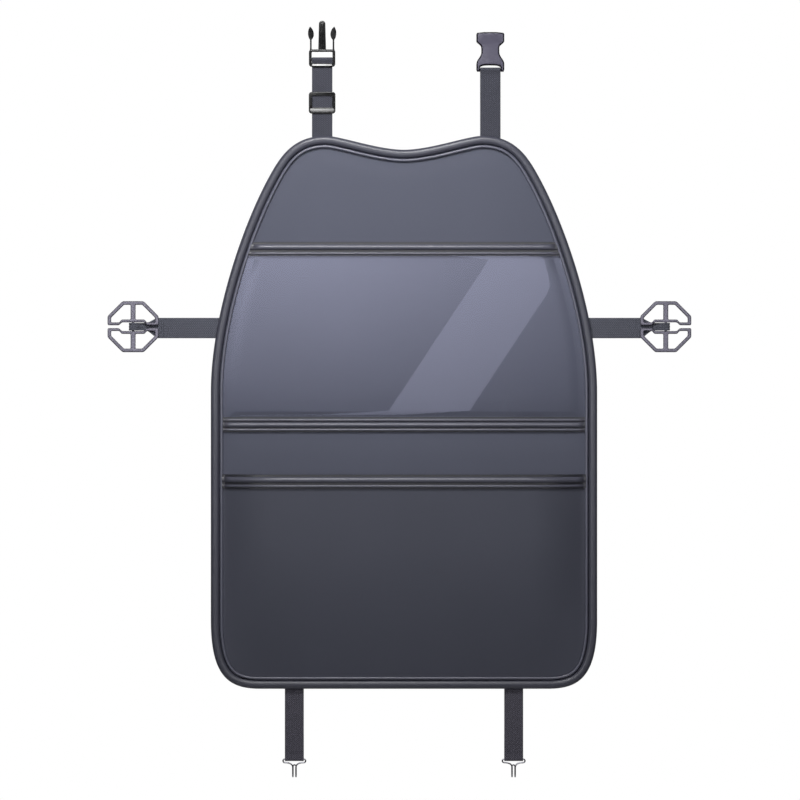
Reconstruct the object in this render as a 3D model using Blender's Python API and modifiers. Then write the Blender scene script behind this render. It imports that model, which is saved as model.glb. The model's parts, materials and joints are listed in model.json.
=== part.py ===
"""Car seat back organizer: a padded panel with a clear window pocket, a lower pocket and its straps.

The panel is drawn flat, in a drawing frame whose X runs to the right, Y up and Z out of the front.
One empty stands that drawing upright, so that the front faces -Y and the back lies in the plane
Y = 0, with the origin in the middle of the panel's back. All sizes are in metres.
"""

import math

import bmesh
import bpy
from mathutils import Vector

# Clearance between neighbouring pieces, and the distance within which corners are welded
GAP = 0.0003
WELD = 0.00001

# Outline of the panel
PANEL_HALF_WIDTH = 0.2364
PANEL_TOP = 0.338
PANEL_BOTTOM = -0.3387
CREST_X = 0.0955
NOTCH_DEPTH = 0.017
SHOULDER_INSET = 0.0734
SHOULDER_DROP = 0.0464
SHOULDER_ANGLE = math.radians(60.6)
SIDE_DROP = 0.3135
CORNER_WIDTH = 0.0604
CORNER_HEIGHT = 0.0837

# Reach of the outline's curves beside its knots
NOTCH_HANDLE = 0.032
CREST_INNER_HANDLE = 0.017
CREST_OUTER_HANDLE = 0.039
SHOULDER_UPPER_HANDLE = 0.026
SHOULDER_LOWER_HANDLE = 0.070
SIDE_HANDLE = 0.0915
CORNER_SIDE_HANDLE = 0.0708
CORNER_BASE_HANDLE = 0.0368
CURVE_STEPS = 6

# Layers of the panel, from the seat outwards
LINING_THICKNESS = 0.0008
LINING_INSET = 0.002
BOARD_THICKNESS = 0.002
BOARD_INSET = 0.014
FACE_THICKNESS = 0.0012

# Rolled binding round the edge and the thin piping inside it
BINDING_WIDTH = 0.0105
BINDING_HEIGHT = 0.008
BINDING_WALL = 0.003
BINDING_STEPS = 8
PIPING_WIDTH = 0.0034
PIPING_HEIGHT = 0.0026
PIPING_GROOVE = 0.001
PIPING_STEPS = 5

# Webbing
WEB_WIDTH = 0.025
WEB_THICKNESS = 0.0012
WEB_THIN = 0.0011
WEB_SIDE_CLEARANCE = 0.0005
LOOP_STEPS = 9
LOOP_NECK = 0.0044

# How finely curves are drawn
ROD_SEGMENTS = 16
CORNER_STEPS = 3
SHAPE_STEPS = 5
BEND_STEPS = 8
SMOOTH_ANGLE = math.radians(30)

# Trim tapes: a base with rolls on it, each given as its distance from the top, width and height
TRIM_BASE = 0.0009
TRIM_LEG = 0.0008
TRIM_LEG_LENGTH = 0.009
MOUTH_TRIM_HEIGHT = 0.0168
BASE_TRIM_HEIGHT = 0.0179
THICK_ROLL = 0.0026
THIN_ROLL = 0.0015
MOUTH_ROLLS = ((0.0060, 0.0085, THICK_ROLL), (0.0138, 0.0040, THIN_ROLL))
BASE_ROLLS = (
    (0.0030, 0.0040, THIN_ROLL),
    (0.0088, 0.0060, THICK_ROLL),
    (0.0148, 0.0040, THIN_ROLL),
)
ROLL_STEPS = 6

# Clear window pocket
WINDOW_MOUTH = 0.2079
WINDOW_BASE = -0.0241
FILM_THICKNESS = 0.0006
FILM_BOW = 0.0065
FILM_SHOULDER = 0.018
FILM_FOOT = 0.012

# Lower pocket
POCKET_MOUTH = -0.0762
POCKET_THICKNESS = 0.0012
POCKET_BOW = 0.013
POCKET_SHOULDER = 0.055
POCKET_FOOT = 0.045
POCKET_HEM = 0.002
POCKET_LIFT_RUN = 0.02
SHOULDER_STEPS = 4

# Headrest straps, with the slider and the two halves of the buckle
TOP_STRAP_LEFT_X = -0.1002
TOP_STRAP_RIGHT_X = 0.1057
MALE_STRAP_REACH = 0.0932
MALE_BAR_RADIUS = 0.00175
MALE_HALF_WIDTH = 0.0162
MALE_TAIL = 0.0782
MALE_FRAME_BOTTOM = -0.0089
MALE_LOWER_BAR = 0.004
MALE_LOWER_BAR_THICKNESS = 0.0028
MALE_CROSSBAR_Y = 0.0093
MALE_CROSSBAR = 0.0032
MALE_THICKNESS = 0.004
MALE_RAIL_BACK = -0.0022
GUIDE_WIDTH = 0.0086
GUIDE_TOP = 0.0479
STEM_X = 0.01385
STEM_WIDTH = 0.0018
LEAF_Y = 0.0252
LEAF_TIP = (0.0009, 0.0156)
LEAF_OUTER_HANDLES = ((0.0045, 0.003), (0.0036, 0.0115))
LEAF_INNER_HANDLES = ((-0.0022, 0.011), (-0.0062, 0.003))
MALE_ROUNDING = 0.0005
SLIDER_REACH = 0.0405
SLIDER_HALF_WIDTH = 0.01635
SLIDER_HALF_HEIGHT = 0.01335
SLIDER_TOP_BAR = 0.0041
SLIDER_BOTTOM_BAR = 0.0064
SLIDER_CENTRE_BAR = 0.005
SLIDER_BAR_THICKNESS = 0.0016
SLIDER_CORNER = 0.0035
SLIDER_ROUNDING = 0.0004
FEMALE_STRAP_REACH = 0.0809
FEMALE_BAR_RADIUS = 0.0015
FEMALE_HALF_WIDTH = 0.017
FEMALE_HALF_WAIST = 0.0108
FEMALE_TOP = 0.0461
FEMALE_CORNER_DROP = 0.0009
FEMALE_HEAD_BASE = 0.0341
FEMALE_WAIST_TOP = 0.0286
FEMALE_WAIST_BASE = 0.0219
FEMALE_FLARE_BASE = 0.0088
FEMALE_EAR_BOTTOM = -0.00215
FEMALE_ARCH_SIDE = 0.0042
FEMALE_ARCH_TOP = 0.0073
FEMALE_THICKNESS = 0.0104
FEMALE_WALL = 0.0017
FEMALE_SOCKET_BASE = 0.0095
FEMALE_SOCKET_SIDE = 0.0038
FEMALE_TAIL = 0.035
FEMALE_ROUNDING = 0.0012

# Side straps and their octagonal anchors
SIDE_STRAP_Y = 0.1035
ANCHOR_LEFT_REACH = 0.0951
ANCHOR_RIGHT_REACH = 0.0839
ANCHOR_HALF = 0.03125
ANCHOR_FRAME = 0.0044
ANCHOR_THICKNESS = 0.0035
ANCHOR_SPOKE = 0.007
ANCHOR_SLIT = 0.0027
ANCHOR_WINDOW = 0.0102
ANCHOR_WINDOW_HALF_LENGTH = 0.014
ANCHOR_WINDOW_SLANT = 0.003
ANCHOR_RIB = 0.0037
ANCHOR_BAR_RADIUS = 0.0016
ANCHOR_LIP = 0.0012
ANCHOR_ROUNDING = 0.0006
GATHERED_WIDTH = 0.0094
GATHER_START = 0.0145
ANCHOR_LOOP_REACH = 0.002
ANCHOR_TAIL = 0.045
ANCHOR_TAIL_WIDTH = 0.022

# Bottom straps and their wire hooks
BOTTOM_STRAP_X = 0.1343
BOTTOM_WEB_WIDTH = 0.0227
HOOK_STRAP_REACH = 0.0864
HOOK_WIRE = 0.0018
HOOK_BAR_HALF = 0.0117
HOOK_BAR_SPLIT = 0.0005
HOOK_EAR_RADIUS = 0.00215
HOOK_LEG_X = 0.0019
HOOK_LEG_TOP = -0.0105
HOOK_BEND_Y = -0.018
HOOK_BEND_RADIUS = 0.004
HOOK_RETURN_TOP = -0.0098
HOOK_SLOPE_REACH = 0.006
HOOK_DROP_REACH = 0.0045
HOOK_TAIL = 0.03

# Places that follow from the outline
MALE_PIVOT_Y = PANEL_TOP + MALE_STRAP_REACH
SLIDER_Y = PANEL_TOP + SLIDER_REACH
FEMALE_PIVOT_Y = PANEL_TOP + FEMALE_STRAP_REACH
ANCHOR_LEFT_X = -PANEL_HALF_WIDTH - ANCHOR_LEFT_REACH
ANCHOR_RIGHT_X = PANEL_HALF_WIDTH + ANCHOR_RIGHT_REACH
HOOK_PIVOT_Y = PANEL_BOTTOM - HOOK_STRAP_REACH

# Levels that follow from the layers
WEB_LOW = LINING_THICKNESS + GAP
WEB_Z = WEB_LOW + WEB_THICKNESS / 2
BOARD_LOW = LINING_THICKNESS + GAP
FACE_LOW = BOARD_LOW + BOARD_THICKNESS + GAP
FACE_TOP = FACE_LOW + FACE_THICKNESS
SHEET_LOW = FACE_TOP + GAP
PIPING_INSET = BINDING_WIDTH + PIPING_GROOVE
POCKET_INSET = PIPING_INSET + PIPING_WIDTH + GAP
RETURN_DROP = WEB_THICKNESS + GAP

# Colours on the display scale, roughness, metallic share and opacity of each finish
FINISHES = {
    "lining": ((58, 58, 66), 0.9, 0.0, 1.0),
    "board": ((150, 132, 108), 0.9, 0.0, 1.0),
    "leatherette": ((100, 103, 118), 0.55, 0.0, 1.0),
    "binding": ((92, 93, 106), 0.5, 0.0, 1.0),
    "film": ((176, 180, 196), 0.12, 0.0, 0.35),
    "webbing": ((78, 79, 90), 0.85, 0.0, 1.0),
    "black_plastic": ((22, 22, 26), 0.3, 0.0, 1.0),
    "grey_plastic": ((92, 90, 104), 0.45, 0.0, 1.0),
    "steel": ((205, 205, 210), 0.25, 1.0, 1.0),
}


def linear(level):
    """Linear light of one colour channel given from 0 to 255."""
    share = level / 255
    return share / 12.92 if share <= 0.04045 else ((share + 0.055) / 1.055) ** 2.4


def make_material(name, finish):
    """Principled material of one object."""
    colour, roughness, metallic, alpha = FINISHES[finish]
    material = bpy.data.materials.new(f"{name}_{finish}")
    material.use_nodes = True
    shader = material.node_tree.nodes["Principled BSDF"]
    shader.inputs["Base Color"].default_value = (*map(linear, colour), 1.0)
    shader.inputs["Roughness"].default_value = roughness
    shader.inputs["Metallic"].default_value = metallic
    shader.inputs["Alpha"].default_value = alpha
    return material


def add_part(name, data, finish, parent, location=(0, 0, 0), rotation=(0, 0, 0)):
    """Object of the model, dressed and placed under its parent."""
    part = bpy.data.objects.new(name, data)
    part.parent = parent
    part.location = location
    part.rotation_euler = rotation
    data.materials.append(make_material(name, finish))
    PARTS.objects.link(part)
    return part


def add_tool(name, data, parent, turn=0):
    """Helper solid that is cut from, joined to or kept of a part, turned in its parent's plane."""
    tool = bpy.data.objects.new(name, data)
    tool.parent = parent
    tool.rotation_euler = (0, 0, turn)
    tool.hide_render = True
    tool.display_type = "WIRE"
    CUTTERS.objects.link(tool)
    return tool


def combine(part, tool, operation):
    """Boolean of a part with a helper solid."""
    step = part.modifiers.new(f"{operation.lower()}_{tool.name}", "BOOLEAN")
    step.operation = operation
    step.use_self = True
    step.object = tool


def add_empty(name, parent, location, rotation=(0, 0, 0)):
    """Empty that carries a group of parts, on its joint's axis where the group moves."""
    empty = bpy.data.objects.new(name, None)
    empty.parent = parent
    empty.location = location
    empty.rotation_euler = rotation
    PARTS.objects.link(empty)
    return empty


def block(name, low, high):
    """Mesh of a box between two corners."""
    shape = bmesh.new()
    bmesh.ops.create_cube(shape, size=1)
    for vertex in shape.verts:
        vertex.co = [a + (b - a) * (c + 0.5) for a, b, c in zip(low, high, vertex.co)]
    return finish_mesh(name, shape)


def rod(name, radius, half_length):
    """Mesh of a round bar along X."""
    shape = bmesh.new()
    bmesh.ops.create_cone(
        shape,
        cap_ends=True,
        segments=ROD_SEGMENTS,
        radius1=radius,
        radius2=radius,
        depth=2 * half_length,
    )
    for vertex in shape.verts:
        vertex.co = (vertex.co.z, vertex.co.y, -vertex.co.x)
    return finish_mesh(name, shape)


def finish_mesh(name, shape):
    """Mesh data of a bmesh, smooth but for its sharp edges."""
    data = bpy.data.meshes.new(name)
    shape.to_mesh(data)
    shape.free()
    data.shade_smooth()
    data.set_sharp_from_angle(angle=SMOOTH_ANGLE)
    return data


def add_spline(curve, points, cyclic):
    """Straight-run spline through points of two or three coordinates."""
    spline = curve.splines.new("POLY")
    spline.points.add(len(points) - 1)
    for control, point in zip(spline.points, points):
        control.co = (*Vector(point).to_3d(), 1)
    spline.use_cyclic_u = cyclic


def flat_curve(name, outlines, thickness, rounding=0.0):
    """Filled outlines extruded to a thickness about their own plane."""
    curve = bpy.data.curves.new(name, "CURVE")
    curve.dimensions = "2D"
    curve.fill_mode = "BOTH"
    curve.extrude = thickness / 2 - rounding
    curve.bevel_depth = rounding
    curve.offset = -rounding
    curve.bevel_resolution = 1
    for outline in outlines:
        add_spline(curve, outline, True)
    return curve


def swept_curve(name, path, cyclic, profile):
    """Closed profile swept along a path; profile X points to the right of the path."""
    section = bpy.data.curves.new(f"{name}_section", "CURVE")
    section.dimensions = "2D"
    section.fill_mode = "NONE"
    add_spline(section, profile, True)
    curve = bpy.data.curves.new(name, "CURVE")
    curve.dimensions = "2D"
    curve.fill_mode = "NONE"
    curve.bevel_mode = "OBJECT"
    curve.bevel_object = add_tool(f"{name}_section", section, PATTERN)
    curve.use_fill_caps = not cyclic
    add_spline(curve, path, cyclic)
    return curve


def curve_to_mesh(part):
    """The same part as a mesh, with its caps welded."""
    bpy.context.view_layer.update()
    evaluated = part.evaluated_get(bpy.context.evaluated_depsgraph_get())
    data = bpy.data.meshes.new_from_object(evaluated)
    shape = bmesh.new()
    shape.from_mesh(data)
    bmesh.ops.remove_doubles(shape, verts=shape.verts, dist=WELD)
    bmesh.ops.recalc_face_normals(shape, faces=shape.faces)
    shape.to_mesh(data)
    shape.free()
    solid = bpy.data.objects.new(f"{part.name}_solid", data)
    solid.parent = part.parent
    solid.location = part.location
    solid.rotation_euler = part.rotation_euler
    solid.hide_render = part.hide_render
    solid.display_type = part.display_type
    for collection in part.users_collection:
        collection.objects.link(solid)
    name = part.name
    bpy.data.objects.remove(part)
    solid.name = name
    return solid


def bezier_at(knots, t):
    """Point and unit direction of a cubic Bezier curve at t."""
    a, b, c, d = knots
    s = 1 - t
    point = a * s**3 + b * (3 * s * s * t) + c * (3 * s * t * t) + d * t**3
    direction = (b - a) * (s * s) + (c - b) * (2 * s * t) + (d - c) * (t * t)
    return point, direction.normalized()


def bezier_points(a, b, c, d, steps):
    """Points along a cubic Bezier curve, both ends included."""
    knots = [Vector(knot) for knot in (a, b, c, d)]
    return [bezier_at(knots, i / steps)[0] for i in range(steps + 1)]


def arc(centre, radius, start, end, steps):
    """Points of a circular arc in a plane, both ends included."""
    angles = [start + (end - start) * i / steps for i in range(steps + 1)]
    return [(centre[0] + radius * math.cos(a), centre[1] + radius * math.sin(a)) for a in angles]


def right_edge(inset):
    """Right half of the panel's outline, from the notch to the middle of the base."""
    across = Vector((1, 0))
    down = Vector((0, -1))
    fall = Vector((math.cos(SHOULDER_ANGLE), -math.sin(SHOULDER_ANGLE)))
    notch = Vector((0, PANEL_TOP - NOTCH_DEPTH))
    crest = Vector((CREST_X, PANEL_TOP))
    shoulder = Vector((PANEL_HALF_WIDTH - SHOULDER_INSET, PANEL_TOP - SHOULDER_DROP))
    side = Vector((PANEL_HALF_WIDTH, PANEL_TOP - SIDE_DROP))
    corner = Vector((PANEL_HALF_WIDTH, PANEL_BOTTOM + CORNER_HEIGHT))
    base = Vector((PANEL_HALF_WIDTH - CORNER_WIDTH, PANEL_BOTTOM))
    notch_out = notch + across * NOTCH_HANDLE
    crest_in = crest - across * CREST_INNER_HANDLE
    crest_out = crest + across * CREST_OUTER_HANDLE
    shoulder_in = shoulder - fall * SHOULDER_UPPER_HANDLE
    shoulder_out = shoulder + fall * SHOULDER_LOWER_HANDLE
    side_in = side - down * SIDE_HANDLE
    corner_out = corner + down * CORNER_SIDE_HANDLE
    base_in = base + across * CORNER_BASE_HANDLE
    spans = (
        (notch, notch_out, crest_in, crest, CURVE_STEPS),
        (crest, crest_out, shoulder_in, shoulder, CURVE_STEPS),
        (shoulder, shoulder_out, side_in, side, CURVE_STEPS),
        (side, side.lerp(corner, 1 / 3), side.lerp(corner, 2 / 3), corner, 1),
        (corner, corner_out, base_in, base, CURVE_STEPS),
    )
    edge = [bezier_at(span[:4], i / span[4]) for span in spans for i in range(span[4])]
    edge.append((base, -across))
    edge.append((Vector((0, PANEL_BOTTOM)), -across))
    return [point + Vector((way.y, -way.x)) * inset for point, way in edge]


def outline(inset):
    """Whole outline of the panel, clockwise from the notch, moved inwards by an inset."""
    right = right_edge(inset)
    left = [Vector((-point.x, point.y)) for point in reversed(right[1:-1])]
    return right + left


def half_width(y, inset):
    """Half the width of the inset outline at a height, below its crest."""
    right = right_edge(inset)[CURVE_STEPS:]
    for upper, lower in zip(right, right[1:]):
        if lower.y <= y <= upper.y:
            return upper.x + (lower.x - upper.x) * (upper.y - y) / (upper.y - lower.y)
    return right[-2].x


def smooth(share):
    """Ease from 0 to 1 for a share from 0 to 1, held outside that range."""
    share = min(max(share, 0), 1)
    return share * share * (3 - 2 * share)


def plate(name, inset, low, thickness, finish):
    """Flat sheet with the panel's outline."""
    curve = flat_curve(name, [outline(inset)], thickness)
    return add_part(name, curve, finish, PATTERN, (0, 0, low + thickness / 2))


def bump(centre, width, height, base, steps):
    """Half-round ridge as (across, out) points, from its right foot to its left foot."""
    points = arc((0, 0), 1, 0, math.pi, steps)
    return [(centre + x * width / 2, base + y * height) for x, y in points]


def make_panel():
    """Lining, board, face sheet, binding and piping."""
    plate("back_lining", LINING_INSET, 0, LINING_THICKNESS, "lining")
    plate("stiffener_board", BOARD_INSET, BOARD_LOW, BOARD_THICKNESS, "board")
    plate("face_panel", BINDING_WIDTH + GAP, FACE_LOW, FACE_THICKNESS, "leatherette")

    crown = BINDING_HEIGHT - BINDING_WALL
    roll = bump(BINDING_WIDTH / 2, BINDING_WIDTH, crown, WEB_LOW + BINDING_WALL, BINDING_STEPS)
    profile = [(0, WEB_LOW), (BINDING_WIDTH, WEB_LOW), *roll]
    curve = swept_curve("edge_binding", outline(0), True, profile)
    binding = curve_to_mesh(add_part("edge_binding", curve, "binding", PATTERN))
    for name, x, y, half_x, half_y in strap_notches():
        low = (x - half_x, y - half_y, 0)
        high = (x + half_x, y + half_y, WEB_LOW + WEB_THICKNESS + GAP)
        combine(binding, add_tool(name, block(name, low, high), PATTERN), "DIFFERENCE")

    middle = PIPING_INSET + PIPING_WIDTH / 2
    profile = bump(middle, PIPING_WIDTH, PIPING_HEIGHT, SHEET_LOW, PIPING_STEPS)
    curve = swept_curve("inner_piping", outline(0), True, profile)
    curve_to_mesh(add_part("inner_piping", curve, "binding", PATTERN))


def strap_notches():
    """Name, centre and half sizes of each groove that a strap needs under the binding."""
    wide = WEB_WIDTH / 2 + GAP
    narrow = BOTTOM_WEB_WIDTH / 2 + GAP
    deep = 2 * BINDING_WIDTH
    side = half_width(SIDE_STRAP_Y, 0)
    return (
        ("top_left_notch", TOP_STRAP_LEFT_X, PANEL_TOP, wide, deep),
        ("top_right_notch", TOP_STRAP_RIGHT_X, PANEL_TOP, wide, deep),
        ("side_left_notch", -side, SIDE_STRAP_Y, deep, wide),
        ("side_right_notch", side, SIDE_STRAP_Y, deep, wide),
        ("bottom_left_notch", -BOTTOM_STRAP_X, PANEL_BOTTOM, narrow, deep),
        ("bottom_right_notch", BOTTOM_STRAP_X, PANEL_BOTTOM, narrow, deep),
    )


class Pocket:
    """Bowed pocket sheet with an open, trimmed mouth."""

    def __init__(self, mouth, bottom, flat, thickness, bow, shoulder, foot):
        self.mouth = mouth
        self.band = mouth - MOUTH_TRIM_HEIGHT
        self.bottom = bottom
        self.flat = flat
        self.thickness = thickness
        self.bow = bow
        self.shoulder = shoulder
        self.foot = foot
        self.top = mouth - TRIM_BASE - GAP
        self.mouth_half = half_width(mouth, POCKET_INSET) - POCKET_HEM

    def bowed_half(self, y):
        """Half the bowed width at a height: the same all through the trimmed band."""
        if y >= self.band:
            return self.mouth_half
        return self.mouth_half + half_width(y, POCKET_INSET) - half_width(self.band, POCKET_INSET)

    def depth(self, inwards, y):
        """Level of the sheet's back at a distance inwards from the bowed edge."""
        lift = smooth((y - self.band) / POCKET_LIFT_RUN + 1) * (TRIM_LEG + GAP)
        rise = smooth((y - self.bottom - self.flat) / self.foot)
        return SHEET_LOW + lift + self.bow * rise * smooth(inwards / self.shoulder)

    def stations(self):
        """Distances inwards from the bowed edge at which the sheet bends."""
        return [self.shoulder * i / SHOULDER_STEPS for i in range(SHOULDER_STEPS + 1)]

    def across(self, y):
        """X and distance inwards of each column, from left to right."""
        half = self.bowed_half(y)
        right = [(half - inwards, inwards) for inwards in reversed(self.stations())]
        right.append((half_width(y, POCKET_INSET), 0))
        return [(-x, inwards) for x, inwards in reversed(right)] + right

    def rows(self):
        """Heights of the rows, from the mouth down, with one at each corner of the outline."""
        start = self.bottom + self.flat
        bends = [start + self.foot * i / SHOULDER_STEPS for i in range(SHOULDER_STEPS + 1)]
        rows = [self.top, self.band, self.band - POCKET_LIFT_RUN, *bends, self.bottom]
        for point in right_edge(POCKET_INSET):
            near = min(abs(point.y - row) for row in rows)
            if self.bottom < point.y < self.top and near > GAP:
                rows.append(point.y)
        return sorted(set(rows), reverse=True)

    def sheet(self, name, finish):
        """The pocket's sheet."""
        rows = self.rows()
        columns = len(self.across(self.mouth))
        shape = bmesh.new()
        bmesh.ops.create_grid(shape, x_segments=columns - 1, y_segments=len(rows) - 1, size=1)
        for vertex in shape.verts:
            column = round((vertex.co.x + 1) / 2 * (columns - 1))
            y = rows[round((1 - vertex.co.y) / 2 * (len(rows) - 1))]
            x, inwards = self.across(y)[column]
            vertex.co = (x, y, self.depth(inwards, y))
        part = add_part(name, finish_mesh(name, shape), finish, PATTERN)
        wall = part.modifiers.new("wall", "SOLIDIFY")
        wall.thickness = self.thickness
        wall.offset = 1
        wall.use_even_offset = True
        return part

    def mouth_trim(self, name):
        """Tape folded over the sheet's top edge, bent as the mouth is."""
        front = self.thickness + GAP
        back = -GAP
        inside = -TRIM_BASE
        section = [(-MOUTH_TRIM_HEIGHT, front), (inside, front), (inside, back)]
        section += [(-TRIM_LEG_LENGTH, back), (-TRIM_LEG_LENGTH, back - TRIM_LEG)]
        section += [(0, back - TRIM_LEG), (0, front + TRIM_BASE)]
        section += ridges(MOUTH_ROLLS, front + TRIM_BASE)
        section.append((-MOUTH_TRIM_HEIGHT, front + TRIM_BASE))
        path = [(x, self.depth(inwards, self.mouth)) for x, inwards in self.across(self.mouth)]
        return trim(name, self.mouth, path, section)


def ridges(rolls, base):
    """Rolls of a trim as (up, out) points, from its top edge down."""
    points = []
    for drop, width, height in rolls:
        points += bump(-drop, width, height, base, ROLL_STEPS)
    return points


def trim(name, top, path, section):
    """Tape across the panel, cut to the inside of the piping at both ends."""
    reach = PANEL_HALF_WIDTH
    path = [(-reach, path[0][1]), *path[1:-1], (reach, path[-1][1])]
    profile = [(-out, -up) for up, out in section]
    curve = swept_curve(name, path, False, profile)
    upright = (math.pi / 2, 0, 0)
    part = curve_to_mesh(add_part(name, curve, "binding", PATTERN, (0, top, 0), upright))
    combine(part, INNER_PRISM, "INTERSECT")
    return part


def make_pockets():
    """Window pocket, lower pocket and their trims."""
    window = Pocket(
        mouth=WINDOW_MOUTH,
        bottom=WINDOW_BASE,
        flat=BASE_TRIM_HEIGHT,
        thickness=FILM_THICKNESS,
        bow=FILM_BOW,
        shoulder=FILM_SHOULDER,
        foot=FILM_FOOT,
    )
    window.sheet("window_film", "film")
    window.mouth_trim("window_mouth_trim")
    back = SHEET_LOW + FILM_THICKNESS + GAP
    section = [(-BASE_TRIM_HEIGHT, back), (0, back), (0, back + TRIM_BASE)]
    section += ridges(BASE_ROLLS, back + TRIM_BASE)
    section.append((-BASE_TRIM_HEIGHT, back + TRIM_BASE))
    ends = [(-PANEL_HALF_WIDTH, 0), (PANEL_HALF_WIDTH, 0)]
    trim("window_base_trim", WINDOW_BASE + BASE_TRIM_HEIGHT, ends, section)

    lower = Pocket(
        mouth=POCKET_MOUTH,
        bottom=PANEL_BOTTOM + POCKET_INSET,
        flat=POCKET_HEM,
        thickness=POCKET_THICKNESS,
        bow=POCKET_BOW,
        shoulder=POCKET_SHOULDER,
        foot=POCKET_FOOT,
    )
    lower.sheet("lower_pocket", "leatherette")
    lower.mouth_trim("pocket_mouth_trim")


def ribbon(name, path, thickness, place, turn):
    """Webbing along a path of (along, out, width) stations, with Y along it before its turn."""
    shape = bmesh.new()
    bmesh.ops.create_grid(shape, x_segments=1, y_segments=len(path) - 1, size=1)
    for vertex in shape.verts:
        along, out, width = path[round((vertex.co.y + 1) / 2 * (len(path) - 1))]
        vertex.co = (vertex.co.x * width / 2, along, out)
    part = add_part(name, finish_mesh(name, shape), "webbing", PATTERN, place, (0, 0, turn))
    wall = part.modifiers.new("wall", "SOLIDIFY")
    wall.thickness = thickness
    wall.offset = 0
    wall.use_even_offset = True
    return part


def looped_web(length, tail, width, thickness, bar_radius):
    """Path of webbing that comes from a distance, loops round a bar and returns behind itself."""
    half_gap = (thickness + GAP) / 2
    radius = bar_radius + GAP + thickness / 2
    reach = math.hypot(LOOP_NECK, half_gap)
    touch = math.pi - math.atan2(half_gap, LOOP_NECK) - math.acos(radius / reach)
    path = [(-length, half_gap), (-LOOP_NECK, half_gap)]
    path += arc((0, 0), radius, touch, -touch, LOOP_STEPS)
    path += [(-LOOP_NECK, -half_gap), (-tail, -half_gap)]
    return [(along, out, width) for along, out in path]


def top_left_axis():
    """Middle of the left headrest strap's two layers."""
    return WEB_LOW + WEB_THICKNESS - WEB_THIN - GAP / 2


def make_top_left():
    """Left headrest strap with its slider and the male half of the buckle."""
    axis = top_left_axis()
    start = MALE_PIVOT_Y - PANEL_TOP + BOARD_INSET - GAP
    path = looped_web(start, MALE_TAIL, WEB_WIDTH, WEB_THIN, MALE_BAR_RADIUS)
    place = (TOP_STRAP_LEFT_X, MALE_PIVOT_Y, axis)
    ribbon("top_strap_left", path, WEB_THIN, place, 0)
    make_slider(add_empty("slider_axis", PATTERN, (TOP_STRAP_LEFT_X, SLIDER_Y, axis)))
    make_male_buckle(add_empty("male_buckle_axis", PATTERN, place))


def make_slider(parent):
    """Three-bar slider: two bars in front of the webbing and one behind it."""
    front = WEB_THIN + GAP / 2 + GAP
    inner = WEB_WIDTH / 2 + WEB_SIDE_CLEARANCE
    wide = SLIDER_HALF_WIDTH
    tall = SLIDER_HALF_HEIGHT
    corner = SLIDER_CORNER
    outer = []
    for x, y, start in ((1, 1, 0), (-1, 1, 90), (-1, -1, 180), (1, -1, 270)):
        turn = math.radians(start)
        centre = (x * (wide - corner), y * (tall - corner))
        outer += arc(centre, corner, turn, turn + math.pi / 2, CORNER_STEPS)
    window_low = -tall + SLIDER_BOTTOM_BAR
    window_high = tall - SLIDER_TOP_BAR
    window = [(-inner, window_low), (inner, window_low), (inner, window_high), (-inner, window_high)]
    curve = flat_curve("strap_slider", [outer, window], SLIDER_BAR_THICKNESS, SLIDER_ROUNDING)
    level = (0, 0, front + SLIDER_BAR_THICKNESS / 2)
    frame = curve_to_mesh(add_part("strap_slider", curve, "black_plastic", parent, level))
    middle = front + SLIDER_BAR_THICKNESS / 2
    back = -front - SLIDER_BAR_THICKNESS
    half_rail = tall - corner
    half_bar = SLIDER_CENTRE_BAR / 2
    pieces = (
        ("slider_left_rail", (-wide, -half_rail, back), (-inner, half_rail, middle)),
        ("slider_right_rail", (inner, -half_rail, back), (wide, half_rail, middle)),
        ("slider_centre_bar", (-inner - GAP, -half_bar, back), (inner + GAP, half_bar, -front)),
    )
    for name, low, high in pieces:
        combine(frame, add_tool(name, block(name, low, high), parent), "UNION")


def make_male_buckle(parent):
    """Prong half of the buckle, round the bar that its webbing is looped on."""
    inner = WEB_WIDTH / 2 + WEB_SIDE_CLEARANCE
    top = MALE_CROSSBAR_Y + MALE_CROSSBAR
    half_guide = GUIDE_WIDTH / 2
    guide = arc((0, GUIDE_TOP - half_guide), half_guide, 0, math.pi / 2, SHAPE_STEPS)
    stem_inner = STEM_X - STEM_WIDTH / 2
    stem_outer = STEM_X + STEM_WIDTH / 2
    right = [(MALE_HALF_WIDTH, MALE_CROSSBAR_Y), (MALE_HALF_WIDTH, top), (stem_outer, top)]
    right += leaf_outline(stem_outer, stem_inner)
    right += [(stem_inner, top), (half_guide, top), *guide]
    left = [(-x, y) for x, y in reversed(right[:-1])]
    curve = flat_curve("male_buckle", [right + left], MALE_THICKNESS, MALE_ROUNDING)
    body = curve_to_mesh(add_part("male_buckle", curve, "black_plastic", parent, (0, 0, GAP)))

    axis = top_left_axis()
    bar_back = WEB_LOW + WEB_THICKNESS + GAP - axis
    bar_front = bar_back + MALE_LOWER_BAR_THICKNESS
    bar_top = MALE_FRAME_BOTTOM + MALE_LOWER_BAR
    rail_top = MALE_CROSSBAR_Y + MALE_CROSSBAR / 2
    wide = MALE_HALF_WIDTH
    low = MALE_FRAME_BOTTOM
    pieces = (
        ("male_left_rail", (-wide, low, MALE_RAIL_BACK), (-inner, rail_top, bar_front)),
        ("male_right_rail", (inner, low, MALE_RAIL_BACK), (wide, rail_top, bar_front)),
        ("male_lower_bar", (-inner - GAP, low, bar_back), (inner + GAP, bar_top, bar_front)),
    )
    for name, low_corner, high_corner in pieces:
        combine(body, add_tool(name, block(name, low_corner, high_corner), parent), "UNION")
    bar = add_tool("male_web_bar", rod("male_web_bar", MALE_BAR_RADIUS, inner + GAP), parent)
    combine(body, bar, "UNION")


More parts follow.
